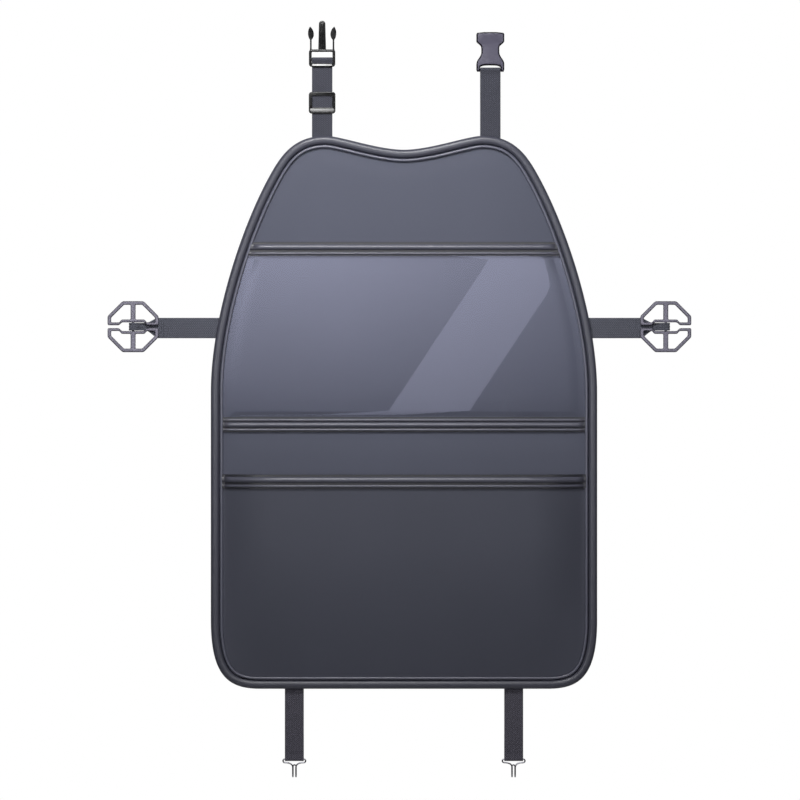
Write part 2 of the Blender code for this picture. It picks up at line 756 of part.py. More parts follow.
def leaf_outline(stem_outer, stem_inner):
    """Leaf-shaped head of the right side arm, from its outer foot round its tip."""
    foot = Vector((STEM_X, LEAF_Y))
    tip = foot + Vector(LEAF_TIP)
    rising = [foot + Vector(reach) for reach in LEAF_OUTER_HANDLES]
    falling = [foot + Vector(reach) for reach in LEAF_INNER_HANDLES]
    outer = bezier_points((stem_outer, LEAF_Y), *rising, tip, SHAPE_STEPS)
    inner = bezier_points(tip, *falling, (stem_inner, LEAF_Y), SHAPE_STEPS)
    return outer + inner[1:]


def make_top_right():
    """Right headrest strap and the female half of the buckle."""
    axis = WEB_Z - RETURN_DROP / 2
    start = FEMALE_PIVOT_Y - PANEL_TOP + BOARD_INSET - GAP
    path = looped_web(start, FEMALE_TAIL, WEB_WIDTH, WEB_THICKNESS, FEMALE_BAR_RADIUS)
    place = (TOP_STRAP_RIGHT_X, FEMALE_PIVOT_Y, axis)
    ribbon("top_strap_right", path, WEB_THICKNESS, place, 0)
    make_female_buckle(add_empty("female_buckle_axis", PATTERN, place))


def make_female_buckle(parent):
    """Socket half of the buckle: a hollow body, open at its top and at its waist."""
    wide = FEMALE_HALF_WIDTH
    ear = WEB_WIDTH / 2 + WEB_SIDE_CLEARANCE
    waist = FEMALE_HALF_WAIST
    flare_mid = (FEMALE_FLARE_BASE + FEMALE_WAIST_BASE) / 2
    head_mid = (FEMALE_HEAD_BASE + FEMALE_WAIST_TOP) / 2
    flare = [(wide, FEMALE_FLARE_BASE), (wide, flare_mid), (waist, flare_mid), (waist, FEMALE_WAIST_BASE)]
    neck = [(waist, FEMALE_WAIST_TOP), (waist, head_mid), (waist, head_mid), (wide, FEMALE_HEAD_BASE)]
    crown = FEMALE_ARCH_TOP
    arch = [(0, crown), (ear / 2, crown), (ear, crown), (ear, FEMALE_ARCH_SIDE)]
    flare, neck, arch = (bezier_points(*knots, SHAPE_STEPS) for knots in (flare, neck, arch))
    right = [*arch, (ear, FEMALE_EAR_BOTTOM), (wide, FEMALE_EAR_BOTTOM), *flare, *neck]
    right += [(wide, FEMALE_TOP - FEMALE_CORNER_DROP), (0, FEMALE_TOP)]
    left = [(-point[0], point[1]) for point in reversed(right[1:-1])]
    curve = flat_curve("female_buckle", [right + left], FEMALE_THICKNESS, FEMALE_ROUNDING)
    body = curve_to_mesh(add_part("female_buckle", curve, "grey_plastic", parent))
    side = wide - FEMALE_SOCKET_SIDE
    deep = FEMALE_THICKNESS / 2 - FEMALE_WALL
    low = (-side, FEMALE_SOCKET_BASE, -deep)
    high = (side, FEMALE_TOP + FEMALE_WALL, deep)
    combine(body, add_tool("buckle_socket", block("buckle_socket", low, high), parent), "DIFFERENCE")
    half_bar = ear + FEMALE_WALL
    bar = add_tool("female_web_bar", rod("female_web_bar", FEMALE_BAR_RADIUS, half_bar), parent)
    combine(body, bar, "UNION")


def make_side(side, anchor_x, label):
    """Side strap, gathered through its anchor, and the anchor itself."""
    axis = WEB_LOW + WEB_THICKNESS + GAP + ANCHOR_THICKNESS / 2
    radius = ANCHOR_BAR_RADIUS + GAP + WEB_THICKNESS / 2
    level = WEB_Z - axis
    behind = level - RETURN_DROP
    board_edge = half_width(SIDE_STRAP_Y - WEB_WIDTH / 2, BOARD_INSET)
    length = abs(anchor_x) - board_edge - GAP
    narrow = GATHERED_WIDTH
    path = [
        (-length, level, WEB_WIDTH),
        (-ANCHOR_HALF - GAP, level, WEB_WIDTH),
        (-GATHER_START, level, narrow),
        (-GATHER_START + ANCHOR_BAR_RADIUS, level, narrow),
        (-2 * ANCHOR_BAR_RADIUS, radius, narrow),
    ]
    bend = arc((ANCHOR_LOOP_REACH, 0), radius, math.pi / 2, -math.pi / 2, LOOP_STEPS)
    path += [(along, out, narrow) for along, out in bend]
    path += [
        (-2 * ANCHOR_BAR_RADIUS, -radius, narrow),
        (-4 * ANCHOR_BAR_RADIUS, behind, narrow),
        (-GATHER_START, behind, narrow),
        (-ANCHOR_HALF - GAP, behind, ANCHOR_TAIL_WIDTH),
        (-ANCHOR_TAIL, behind, ANCHOR_TAIL_WIDTH),
    ]
    place = (anchor_x, SIDE_STRAP_Y, axis)
    ribbon(f"side_strap_{label}", path, WEB_THICKNESS, place, -side * math.pi / 2)
    make_anchor(f"side_anchor_{label}", add_empty(f"side_anchor_{label}_axis", PATTERN, place))


def make_anchor(name, parent):
    """Octagonal anchor: two halves of a ring, joined by the bar that holds the webbing."""
    half = ANCHOR_HALF
    corner = half * math.tan(math.pi / 8)
    slit = ANCHOR_SLIT / 2
    window = ANCHOR_WINDOW / 2
    reach = ANCHOR_WINDOW_HALF_LENGTH
    slant = reach + ANCHOR_WINDOW_SLANT
    right = [(reach, window), (slant, slit), (half - ANCHOR_LIP, slit), (half, slit + ANCHOR_LIP)]
    right += [(half, corner), (corner, half)]
    upper = right + [(-x, y) for x, y in reversed(right)]
    lower = [(x, -y) for x, y in upper]
    inner = half - ANCHOR_FRAME
    inner_corner = inner * math.tan(math.pi / 8)
    spoke = ANCHOR_SPOKE / 2
    hole = [(spoke, window + ANCHOR_RIB), (reach, window + ANCHOR_RIB), (slant, slit + ANCHOR_RIB)]
    hole += [(inner, slit + ANCHOR_RIB), (inner, inner_corner), (inner_corner, inner), (spoke, inner)]
    holes = [[(sx * x, sy * y) for x, y in hole] for sx in (1, -1) for sy in (1, -1)]
    curve = flat_curve(name, [upper, lower, *holes], ANCHOR_THICKNESS, ANCHOR_ROUNDING)
    ring = curve_to_mesh(add_part(name, curve, "grey_plastic", parent))
    bar = rod(f"{name}_bar", ANCHOR_BAR_RADIUS, window + ANCHOR_RIB / 2)
    combine(ring, add_tool(f"{name}_bar", bar, parent, turn=math.pi / 2), "UNION")


def make_bottom(side, label):
    """Bottom strap and its wire hook."""
    axis = WEB_Z - RETURN_DROP / 2
    length = PANEL_BOTTOM + BOARD_INSET - GAP - HOOK_PIVOT_Y
    path = looped_web(length, HOOK_TAIL, BOTTOM_WEB_WIDTH, WEB_THICKNESS, HOOK_WIRE / 2)
    place = (side * BOTTOM_STRAP_X, HOOK_PIVOT_Y, axis)
    ribbon(f"bottom_strap_{label}", path, WEB_THICKNESS, place, math.pi)
    make_hook(f"hook_{label}", add_empty(f"hook_{label}_axis", PATTERN, place))


def make_hook(name, parent):
    """Hook bent from one wire, whose ends meet in the webbing's loop."""
    quarter = math.pi / 2
    ear = arc((HOOK_BAR_HALF, -HOOK_EAR_RADIUS), HOOK_EAR_RADIUS, quarter, -quarter, BEND_STEPS)
    shoulder = -2 * HOOK_EAR_RADIUS
    slope = bezier_points(
        (HOOK_BAR_HALF, shoulder),
        (HOOK_BAR_HALF - HOOK_SLOPE_REACH, shoulder),
        (HOOK_LEG_X, HOOK_LEG_TOP + HOOK_DROP_REACH),
        (HOOK_LEG_X, HOOK_LEG_TOP),
        BEND_STEPS,
    )
    flat = [(HOOK_BAR_SPLIT, 0), *ear, *(tuple(point) for point in slope[1:])]
    right = [(x, y, 0) for x, y in flat]
    bend = arc((HOOK_BEND_Y, -HOOK_BEND_RADIUS), HOOK_BEND_RADIUS, quarter, 3 * quarter, BEND_STEPS)
    right += [(HOOK_LEG_X, y, z) for y, z in bend]
    crown = arc((0, HOOK_RETURN_TOP), HOOK_LEG_X, 0, quarter, CORNER_STEPS)
    right += [(x, y, -2 * HOOK_BEND_RADIUS) for x, y in crown]
    left = [(-x, y, z) for x, y, z in reversed(right[:-1])]
    curve = bpy.data.curves.new(name, "CURVE")
    curve.dimensions = "3D"
    curve.bevel_depth = HOOK_WIRE / 2
    curve.bevel_resolution = 2
    curve.use_fill_caps = True
    add_spline(curve, right + left, False)
    return add_part(name, curve, "steel", parent)


for leftover in list(bpy.data.objects):
    bpy.data.objects.remove(leftover)

PARTS = bpy.data.collections.new("car_seat_back_organizer")
CUTTERS = bpy.data.collections.new("cutters")
bpy.context.scene.collection.children.link(PARTS)
bpy.context.scene.collection.children.link(CUTTERS)

PATTERN = add_empty("pattern_plane", None, (0, 0, 0), (math.pi / 2, 0, 0))
PRISM_OUTLINE = flat_curve("inner_prism", [outline(POCKET_INSET)], PANEL_HALF_WIDTH)
INNER_PRISM = curve_to_mesh(add_tool("inner_prism", PRISM_OUTLINE, PATTERN))

make_panel()
make_pockets()
make_top_left()
make_top_right()
make_side(-1, ANCHOR_LEFT_X, "left")
make_side(1, ANCHOR_RIGHT_X, "right")
make_bottom(-1, "left")
make_bottom(1, "right")
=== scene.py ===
"""Dressed scene of a car seat back organizer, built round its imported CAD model.

X runs to the right, Z up, and the front faces -Y. The panel's back lies in the plane Y = 0. A shape
drawn on the panel is given as (x, z, out), where out is the distance in front of that plane. All
sizes are in metres, and colours are given from 0 to 255 on the display scale.
"""

from __future__ import annotations

import json
import logging
import math
from abc import ABC, abstractmethod
from dataclasses import dataclass, field
from enum import Enum
from typing import Callable, Sequence

import bmesh
import bpy
import numpy as np
from mathutils import Matrix, Vector, noise
from mathutils.kdtree import KDTree

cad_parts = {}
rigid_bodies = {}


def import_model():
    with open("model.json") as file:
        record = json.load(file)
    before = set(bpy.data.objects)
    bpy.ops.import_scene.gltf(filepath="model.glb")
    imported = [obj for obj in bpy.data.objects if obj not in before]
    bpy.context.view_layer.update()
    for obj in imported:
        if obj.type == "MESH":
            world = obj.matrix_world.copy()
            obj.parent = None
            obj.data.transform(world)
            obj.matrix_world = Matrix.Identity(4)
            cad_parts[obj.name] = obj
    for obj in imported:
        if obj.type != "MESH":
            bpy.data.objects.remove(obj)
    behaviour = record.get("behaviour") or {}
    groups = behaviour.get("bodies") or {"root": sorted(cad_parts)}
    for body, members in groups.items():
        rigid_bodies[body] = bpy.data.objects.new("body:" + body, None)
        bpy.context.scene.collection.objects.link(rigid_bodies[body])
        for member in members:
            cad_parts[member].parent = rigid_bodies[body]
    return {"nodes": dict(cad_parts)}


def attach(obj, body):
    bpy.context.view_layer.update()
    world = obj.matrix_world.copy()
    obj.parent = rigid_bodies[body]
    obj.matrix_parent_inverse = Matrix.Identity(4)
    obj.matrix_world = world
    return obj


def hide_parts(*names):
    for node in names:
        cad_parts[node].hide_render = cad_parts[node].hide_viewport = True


LOG = logging.getLogger("organizer")

Colour = tuple[float, float, float]
Drawn = tuple[float, float, float]
Flat = tuple[float, float]
Piece = bpy.types.Object
Material = bpy.types.Material
Socket = bpy.types.NodeSocket

WELD = 0.00001
# Name of the vertex attribute that holds painted shade for grooves and rims.
PAINTED_SHADE_MARK = "dark"
BLACK = (0.0, 0.0, 0.0, 1.0)
RIM_FACING = 0.995
RIM_RANGE = 0.06
SMOOTH_ANGLE = math.radians(35)


class Slot(Enum):
    """Material slots of the record."""

    LINING = "lining_cloth"
    BOARD = "board"
    LEATHERETTE = "slate_leatherette"
    FILM = "clear_film"
    WEBBING = "webbing"
    BLACK_PLASTIC = "black_plastic"
    GREY_PLASTIC = "grey_plastic"
    STEEL = "bright_steel"


class Side(Enum):
    """Left and right as seen from the front."""

    LEFT = -1
    RIGHT = 1

    @property
    def label(self) -> str:
        """Word used in the names of pieces."""
        return self.name.lower()


# Small helpers


def linear(level: float) -> float:
    """Linear light of a channel given from 0 to 255."""
    share = level / 255
    return share / 12.92 if share <= 0.04045 else ((share + 0.055) / 1.055) ** 2.4


def paint(colour: Colour) -> tuple[float, float, float, float]:
    """Colour for a shader's socket."""
    return (*(linear(level) for level in colour), 1.0)


def smooth(share: float) -> float:
    """Ease from 0 to 1, held outside that range."""
    share = min(max(share, 0.0), 1.0)
    return share * share * (3 - 2 * share)


def swell(share: float) -> float:
    """Rise from 0 to 1 that is steepest at its start, held outside that range."""
    return math.sin(min(max(share, 0.0), 1.0) * math.pi / 2)


def world(point: Drawn) -> Vector:
    """Place of a drawn point."""
    return Vector((point[0], -point[2], point[1]))


def arc(centre: Flat, radius: float, start: float, end: float, steps: int) -> list[Flat]:
    """Points of a circular arc, both ends included."""
    angles = [start + (end - start) * i / steps for i in range(steps + 1)]
    return [(centre[0] + radius * math.cos(a), centre[1] + radius * math.sin(a)) for a in angles]


def bezier(knots: Sequence[Vector], t: float) -> tuple[Vector, Vector]:
    """Point and unit direction of a cubic curve at t."""
    a, b, c, d = knots
    s = 1 - t
    point = a * s**3 + b * (3 * s * s * t) + c * (3 * s * t * t) + d * t**3
    way = (b - a) * (s * s) + (c - b) * (2 * s * t) + (d - c) * (t * t)
    return point, way.normalized()


def curve_points(knots: Sequence[Flat], steps: int) -> list[Flat]:
    """Points along a flat cubic curve, both ends included."""
    vectors = [Vector(knot) for knot in knots]
    return [tuple(bezier(vectors, i / steps)[0]) for i in range(steps + 1)]


def new_object(name: str, data: bpy.types.ID) -> Piece:
    """Object in the scene's collection."""
    item = bpy.data.objects.new(name, data)
    bpy.context.scene.collection.objects.link(item)
    return item


def settled(
    name: str, data: bpy.types.Mesh, shape: bmesh.types.BMesh, outward: bool = True
) -> Piece:
    """Smooth mesh object at the origin.

    Args:
        name: Name of the piece.
        data: Mesh that its shape is written to.
        shape: Its shape, which is used up.
        outward: Whether the faces are turned to the outside.

    Returns:
        The new object.
    """
    if outward:
        bmesh.ops.recalc_face_normals(shape, faces=shape.faces)
    shape.to_mesh(data)
    shape.free()
    data.shade_smooth()
    data.set_sharp_from_angle(angle=SMOOTH_ANGLE)
    return new_object(name, data)


def mesh_object(
    name: str, points: Sequence[Sequence[float]], faces: Sequence[Sequence[int]], outward: bool = True
) -> Piece:
    """Smooth mesh object of points and faces."""
    data = bpy.data.meshes.new(name)
    data.from_pydata([tuple(point) for point in points], [], [tuple(face) for face in faces])
    shape = bmesh.new()
    shape.from_mesh(data)
    return settled(name, data, shape, outward)


def evaluated_mesh(item: Piece) -> bpy.types.Mesh:
    """Plain mesh of an object with its modifiers."""
    bpy.context.view_layer.update()
    evaluated = item.evaluated_get(bpy.context.evaluated_depsgraph_get())
    return bpy.data.meshes.new_from_object(evaluated)


def applied(item: Piece) -> Piece:
    """The same piece with its modifiers made part of its mesh and its place in its points."""
    data = evaluated_mesh(item)
    data.transform(item.matrix_world)
    name, old = item.name, item.data
    bpy.data.objects.remove(item)
    if old.users == 0 and isinstance(old, bpy.types.Mesh):
        bpy.data.meshes.remove(old)
    shape = bmesh.new()
    shape.from_mesh(data)
    bmesh.ops.remove_doubles(shape, verts=shape.verts, dist=WELD)
    return settled(name, data, shape)


def grid_faces(rows: int, columns: int, close_rows: bool, close_columns: bool) -> list[tuple[int, ...]]:
    """Quads of a grid whose points run row by row."""
    faces = []
    for i in range(rows if close_rows else rows - 1):
        for j in range(columns if close_columns else columns - 1):
            k, m = (i + 1) % rows, (j + 1) % columns
            faces.append((i * columns + j, i * columns + m, k * columns + m, k * columns + j))
    return faces


def give_uv(item: Piece, values: Sequence[Flat]) -> None:
    """UV map in metres, one value for each point of the mesh."""
    layer = item.data.uv_layers.new(name="cloth")
    for loop in item.data.loops:
        layer.data[loop.index].uv = values[loop.vertex_index]


def mark_dark(item: Piece, shares: Sequence[float]) -> None:
    """Marks how deep each vertex lies in a groove or how far round a rim, for the painted shade in the
    finishes.
    """
    layer = item.data.attributes.new(PAINTED_SHADE_MARK, "FLOAT", "POINT")
    layer.data.foreach_set("value", shares)


def mark_rim(item: Piece) -> Piece:
    """Marks the edges that turn away from the front and back for painted shade, and returns the piece."""
    vertices = item.data.vertices
    mark_dark(item, [smooth((RIM_FACING - abs(vertex.normal.y)) / RIM_RANGE) for vertex in vertices])
    return item


@dataclass(frozen=True)
class Look:
    """Record slot of a finish and its material."""

    slot: Slot
    material: Material


def dress(item: Piece, material: Material) -> None:
    """Gives a piece its one material."""
    item.data.materials.clear()
    item.data.materials.append(material)


def place(item: Piece, body: str, look: Look, *nodes: str) -> Piece:
    """Dresses a piece, lets it ride on a body and stand for CAD nodes.

    Args:
        item: The finished piece.
        body: CAD body that it moves with.
        look: Its material and record slot.
        nodes: CAD nodes that it replaces.

    Returns:
        The same piece.
    """
    dress(item, look.material)
    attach(item, body)
    if nodes:
        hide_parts(*nodes)
    LOG.info("%s on %s: %d faces", item.name, body, len(item.data.polygons))
    return item


# Finishes


class NodePad:
    """Short way to write the nodes of a material or of the world."""

    def __init__(self, owner: Material | bpy.types.World) -> None:
        """Takes up the owner's nodes."""
        owner.use_nodes = True
        self.owner = owner
        self.tree = owner.node_tree

    def node(self, kind: str, settings: dict | None = None, **inputs: object) -> bpy.types.Node:
        """Adds a node.

        Args:
            kind: Type of the node, without its ShaderNode prefix.
            settings: Its own options.
            inputs: Values or sockets, named as its inputs with _ for a space, or _ and a number.

        Returns:
            The new node.
        """
        made = self.tree.nodes.new("ShaderNode" + kind)
        for key, value in (settings or {}).items():
            setattr(made, key, value)
        for key, value in inputs.items():
            self.feed(made.inputs[int(key[1:]) if key[1:].isdigit() else key.replace("_", " ")], value)
        return made

    def feed(self, socket: Socket, value: object) -> None:
        """Links a socket to an input, or sets the input's value."""
        if isinstance(value, Socket):
            self.tree.links.new(value, socket)
        else:
            socket.default_value = value

    def surface(self, shader: bpy.types.Node) -> None:
        """Makes a node the surface of the material."""
        self.feed(self.tree.nodes["Material Output"].inputs["Surface"], shader.outputs[0])

    def math(self, operation: str, a: object, b: object = 0.0, c: object = 0.0) -> Socket:
        """Result of a sum of two or three numbers or sockets."""
        return self.node("Math", {"operation": operation}, _0=a, _1=b, _2=c).outputs[0]

    def weighted(self, a: object, share_a: float, b: object, share_b: float) -> Socket:
        """Sum of two sockets, each times its share."""
        return self.math("MULTIPLY_ADD", a, share_a, self.math("MULTIPLY", b, share_b))

    def waves(self, value: object, length: float) -> Socket:
        """Sine waves of a length."""
        return self.math("SINE", self.math("MULTIPLY", value, 2 * math.pi / length))

    def coordinate(self, kind: str) -> Socket:
        """Object, UV or world coordinates."""
        return self.node("TexCoord").outputs[kind]

    def noise(self, place_: object, scale: float, detail: float = 2.0) -> Socket:
        """Noise between 0 and 1."""
        return self.node("TexNoise", Vector=place_, Scale=scale, Detail=detail).outputs["Fac"]

    def cells(self, place_: object, scale: float) -> Socket:
        """Distance from the edges of cells."""
        made = self.node("TexVoronoi", {"feature": "DISTANCE_TO_EDGE"}, Vector=place_, Scale=scale)
        return made.outputs["Distance"]

    def ramp(
        self, value: object, low: float, high: float, start: float = 0.0, end: float = 1.0
    ) -> Socket:
        """Value moved from one range to another, held at its ends."""
        return self.node("MapRange", None, _0=value, _1=low, _2=high, _3=start, _4=end).outputs[0]

    def mixed(self, share: object, a: object, b: object) -> Socket:
        """Colour between two colours."""
        return self.node("Mix", {"data_type": "RGBA"}, _0=share, _6=a, _7=b).outputs[2]

    def tones(self, share: object, colour: Colour, low: float, high: float) -> Socket:
        """Colour between a colour times one factor and the same colour times another."""
        dark, light = (paint([level * factor for level in colour]) for factor in (low, high))
        return self.mixed(share, dark, light)

    def mark(self) -> Socket:
        """Mark of the painted shade in the mesh's grooves and rims."""
        return self.node("Attribute", {"attribute_name": PAINTED_SHADE_MARK}).outputs["Fac"]

    def darkened(self, colour: object, strength: float) -> Socket:
        """Colour darkened by painted shade where the mesh is marked as a groove or rim."""
        return self.mixed(self.math("MULTIPLY", self.mark(), strength), colour, BLACK)

    def bump(self, height: object, depth: float, after: object = None) -> Socket:
        """Normal from a height between 0 and 1.

        Args:
            height: Height socket.
            depth: How far a height of 1 stands out, in metres.
            after: Normal that this one is added to.

        Returns:
            The normal's socket.
        """
        made = self.node("Bump", None, Strength=1.0, Distance=depth, Height=height)
        if after is not None:
            self.feed(made.inputs["Normal"], after)
        return made.outputs[0]


class Finish(ABC):
    """Look of a surface."""

    def material(self, name: str) -> Material:
        """Material under a name."""
        pad = NodePad(bpy.data.materials.new(name))
        shader = pad.tree.nodes["Principled BSDF"]
        for key, value in self.inputs(pad, pad.coordinate("Object")).items():
            pad.feed(shader.inputs[key], value)
        return pad.owner

    @abstractmethod
    def inputs(self, pad: NodePad, spot: Socket) -> dict[str, object]:
        """What the shader is fed with.

        Args:
            pad: Where its nodes are written.
            spot: Object coordinates.

        Returns:
            Values and sockets by the names of the shader's inputs.
        """


@dataclass(frozen=True)
class Leatherette(Finish):
    """Coated cloth with a fine pebbled grain."""

    colour: Colour = (92, 95, 111)
    roughness: float = 0.55
    gloss: float = 0.25
    groove: float = 0.55
    grain: float = 0.0011
    depth: float = 0.00001
    variation: float = 0.04

    def inputs(self, pad: NodePad, spot: Socket) -> dict[str, object]:
        """Pebbles and creases, with a broad change of tone, and painted shade where the mesh is marked.
        """
        pebble = pad.ramp(pad.cells(spot, 1 / self.grain), 0.0, 0.28)
        creases = pad.noise(spot, 0.35 / self.grain, 3.0)
        tone = pad.weighted(pad.noise(spot, 7.0), 0.8, pebble, 0.2)
        colour = pad.tones(tone, self.colour, 1 - self.variation, 1 + self.variation)
        return {
            # Painted shade: the colour is darkened in the grooves and tucks that are marked on the trims.
            "Base Color": pad.darkened(colour, self.groove),
            "Roughness": pad.ramp(creases, 0.3, 0.7, self.roughness - 0.04, self.roughness + 0.05),
            "Normal": pad.bump(pad.weighted(pebble, 1.0, creases, 0.7), self.depth),
            "Specular IOR Level": self.gloss,
        }


@dataclass(frozen=True)
class ClearFilm(Finish):
    """Clear flexible film, slightly milky, that lets the lamps' light through."""

    colour: Colour = (197, 199, 209)
    sheen: Colour = (220, 223, 255)
    clearness: float = 0.994
    roughness: float = 0.005
    ior: float = 1.7
    shadow: float = 0.0
    crinkle: float = 0.08
    crinkle_scale: float = 24.0
    crinkle_width: float = 0.022
    crinkle_patches: float = 13.0

    def inputs(self, pad: NodePad, spot: Socket) -> dict[str, object]:
        """Scuffs, clouds, and patches of faint crinkles painted as lighter, milky lines for their glints.
        """
        clouds = pad.noise(spot, 5.0, 1.0)
        clear = pad.ramp(clouds, 0.3, 0.7, self.clearness - 0.004, self.clearness + 0.004)
        line = pad.ramp(pad.cells(spot, self.crinkle_scale), 0.0, self.crinkle_width, 1.0, 0.0)
        patches = pad.ramp(pad.noise(spot, self.crinkle_patches, 1.0), 0.62, 0.7)
        crinkle_glints = pad.math("MULTIPLY", line, patches)
        path = pad.node("LightPath").outputs
        lit = pad.math("MAXIMUM", path["Is Shadow Ray"], path["Is Diffuse Ray"])
        lit = pad.math("MAXIMUM", lit, path["Is Glossy Ray"])
        scuffs = pad.noise(spot, 90.0)
        return {
            "Base Color": pad.tones(clouds, self.colour, 0.98, 1.0),
            "Roughness": pad.ramp(scuffs, 0.6, 0.8, self.roughness, self.roughness + 0.02),
            # Painted highlight: the crinkle lines let less light through, so the pale film shows lighter
            # there.
            "Transmission Weight": pad.math("MULTIPLY_ADD", crinkle_glints, -self.crinkle, clear),
            "Alpha": pad.ramp(lit, 0.0, 1.0, 1.0, self.shadow),
            "IOR": self.ior,
            "Specular Tint": paint(self.sheen),
        }


@dataclass(frozen=True)
class Webbing(Finish):
    """Woven polyester webbing with a chevron twill, on UV in metres."""

    colour: Colour
    pitch: float = 0.0026
    chevron: float = 0.0062
    ribs: float = 0.0021
    depth: float = 0.00022
    fuzz_depth: float = 0.00005

    def inputs(self, pad: NodePad, spot: Socket) -> dict[str, object]:
        """Twill and ribs, with fuzz on them."""
        across, along, _ = pad.node("SeparateXYZ", None, _0=pad.coordinate("UV")).outputs
        slope = pad.math("PINGPONG", across, self.chevron)
        twill = pad.waves(pad.math("ADD", along, slope), self.pitch)
        height = pad.math("ADD", pad.weighted(twill, 0.36, pad.waves(across, self.ribs), 0.14), 0.5)
        fuzz = pad.noise(spot, 900.0, 3.0)
        return {
            "Base Color": pad.tones(pad.weighted(height, 0.7, fuzz, 0.4), self.colour, 0.55, 1.28),
            "Roughness": pad.ramp(fuzz, 0.3, 0.7, 0.72, 0.9),
            "Normal": pad.bump(fuzz, self.fuzz_depth, pad.bump(height, self.depth)),
            "Specular IOR Level": 0.25,
            "Sheen Weight": 0.15,
        }


@dataclass(frozen=True)
class LiningCloth(Finish):
    """Plain woven backing cloth."""

    colour: Colour = (52, 53, 60)
    thread: float = 0.0011

    def inputs(self, pad: NodePad, spot: Socket) -> dict[str, object]:
        """Plain weave with slubs and a little slackness."""
        x, _, z = pad.node("SeparateXYZ", None, _0=spot).outputs
        crossed = pad.math("MULTIPLY", pad.waves(x, self.thread), pad.waves(z, self.thread))
        weave = pad.math("MULTIPLY_ADD", crossed, 0.5, 0.5)
        slub = pad.noise(spot, 260.0, 4.0)
        tone = pad.weighted(weave, 0.45, slub, 0.55)
        return {
            "Base Color": pad.tones(tone, self.colour, 0.7, 1.3),
            "Roughness": pad.ramp(slub, 0.3, 0.7, 0.8, 0.95),
            "Normal": pad.bump(pad.noise(spot, 9.0), 0.0008, pad.bump(tone, 0.00015)),
            "Specular IOR Level": 0.2,
        }


@dataclass(frozen=True)
class Plastic(Finish):
    """Moulded plastic with a faint texture and rubbed spots."""

    colour: Colour
    roughness: float
    gloss: float = 0.5
    rim: float = 0.0
    texture: float = 0.000004

    def inputs(self, pad: NodePad, spot: Socket) -> dict[str, object]:
        """Fine texture, broad rubbed spots, and painted shade with less gloss round the rim."""
        broad = pad.noise(spot, 55.0, 3.0)
        colour: object = pad.tones(broad, self.colour, 0.9, 1.12)
        gloss: object = self.gloss
        # Painted shade: edges that turn away from the front are darkened and made duller.
        if self.rim:
            colour = pad.darkened(colour, self.rim)
            gloss = pad.ramp(pad.mark(), 0.0, 1.0, self.gloss, self.gloss * (1 - self.rim))
        return {
            "Base Color": colour,
            "Roughness": pad.ramp(broad, 0.35, 0.7, self.roughness - 0.05, self.roughness + 0.08),
            "Normal": pad.bump(pad.noise(spot, 1600.0, 3.0), self.texture),
            "Specular IOR Level": gloss,
        }


@dataclass(frozen=True)
class PlatedSteel(Finish):
    """Bright plated wire with faint drawing marks."""

    colour: Colour = (156, 156, 163)
    roughness: float = 0.2

    def inputs(self, pad: NodePad, spot: Socket) -> dict[str, object]:
        """Drawing marks and faint stains."""
        marks = pad.noise(spot, 420.0, 4.0)
        return {
            "Base Color": pad.tones(pad.noise(spot, 90.0), self.colour, 0.82, 1.0),
            "Roughness": pad.ramp(marks, 0.3, 0.7, self.roughness - 0.06, self.roughness + 0.1),
            "Metallic": 1.0,
            "Normal": pad.bump(marks, 0.00002),
        }


@dataclass(frozen=True)
class Thread(Finish):
    """Twisted sewing thread."""

    colour: Colour = (60, 61, 72)

    def inputs(self, pad: NodePad, spot: Socket) -> dict[str, object]:
        """Fine twist."""
        twist = pad.noise(spot, 2400.0)
        return {
            "Base Color": pad.tones(twist, self.colour, 0.75, 1.2),
            "Roughness": 0.6,
            "Normal": pad.bump(twist, 0.00005),
            "Specular IOR Level": 0.3,
        }


@dataclass(frozen=True)
class Fibreboard(Finish):
    """Hidden stiffener board."""

    colour: Colour = (150, 132, 108)

    def inputs(self, pad: NodePad, spot: Socket) -> dict[str, object]:
        """Matted fibres."""
        fibres = pad.noise(spot, 300.0, 5.0)
        return {
            "Base Color": pad.tones(fibres, self.colour, 0.8, 1.1),
            "Roughness": 0.9,
            "Normal": pad.bump(fibres, 0.0001),
        }


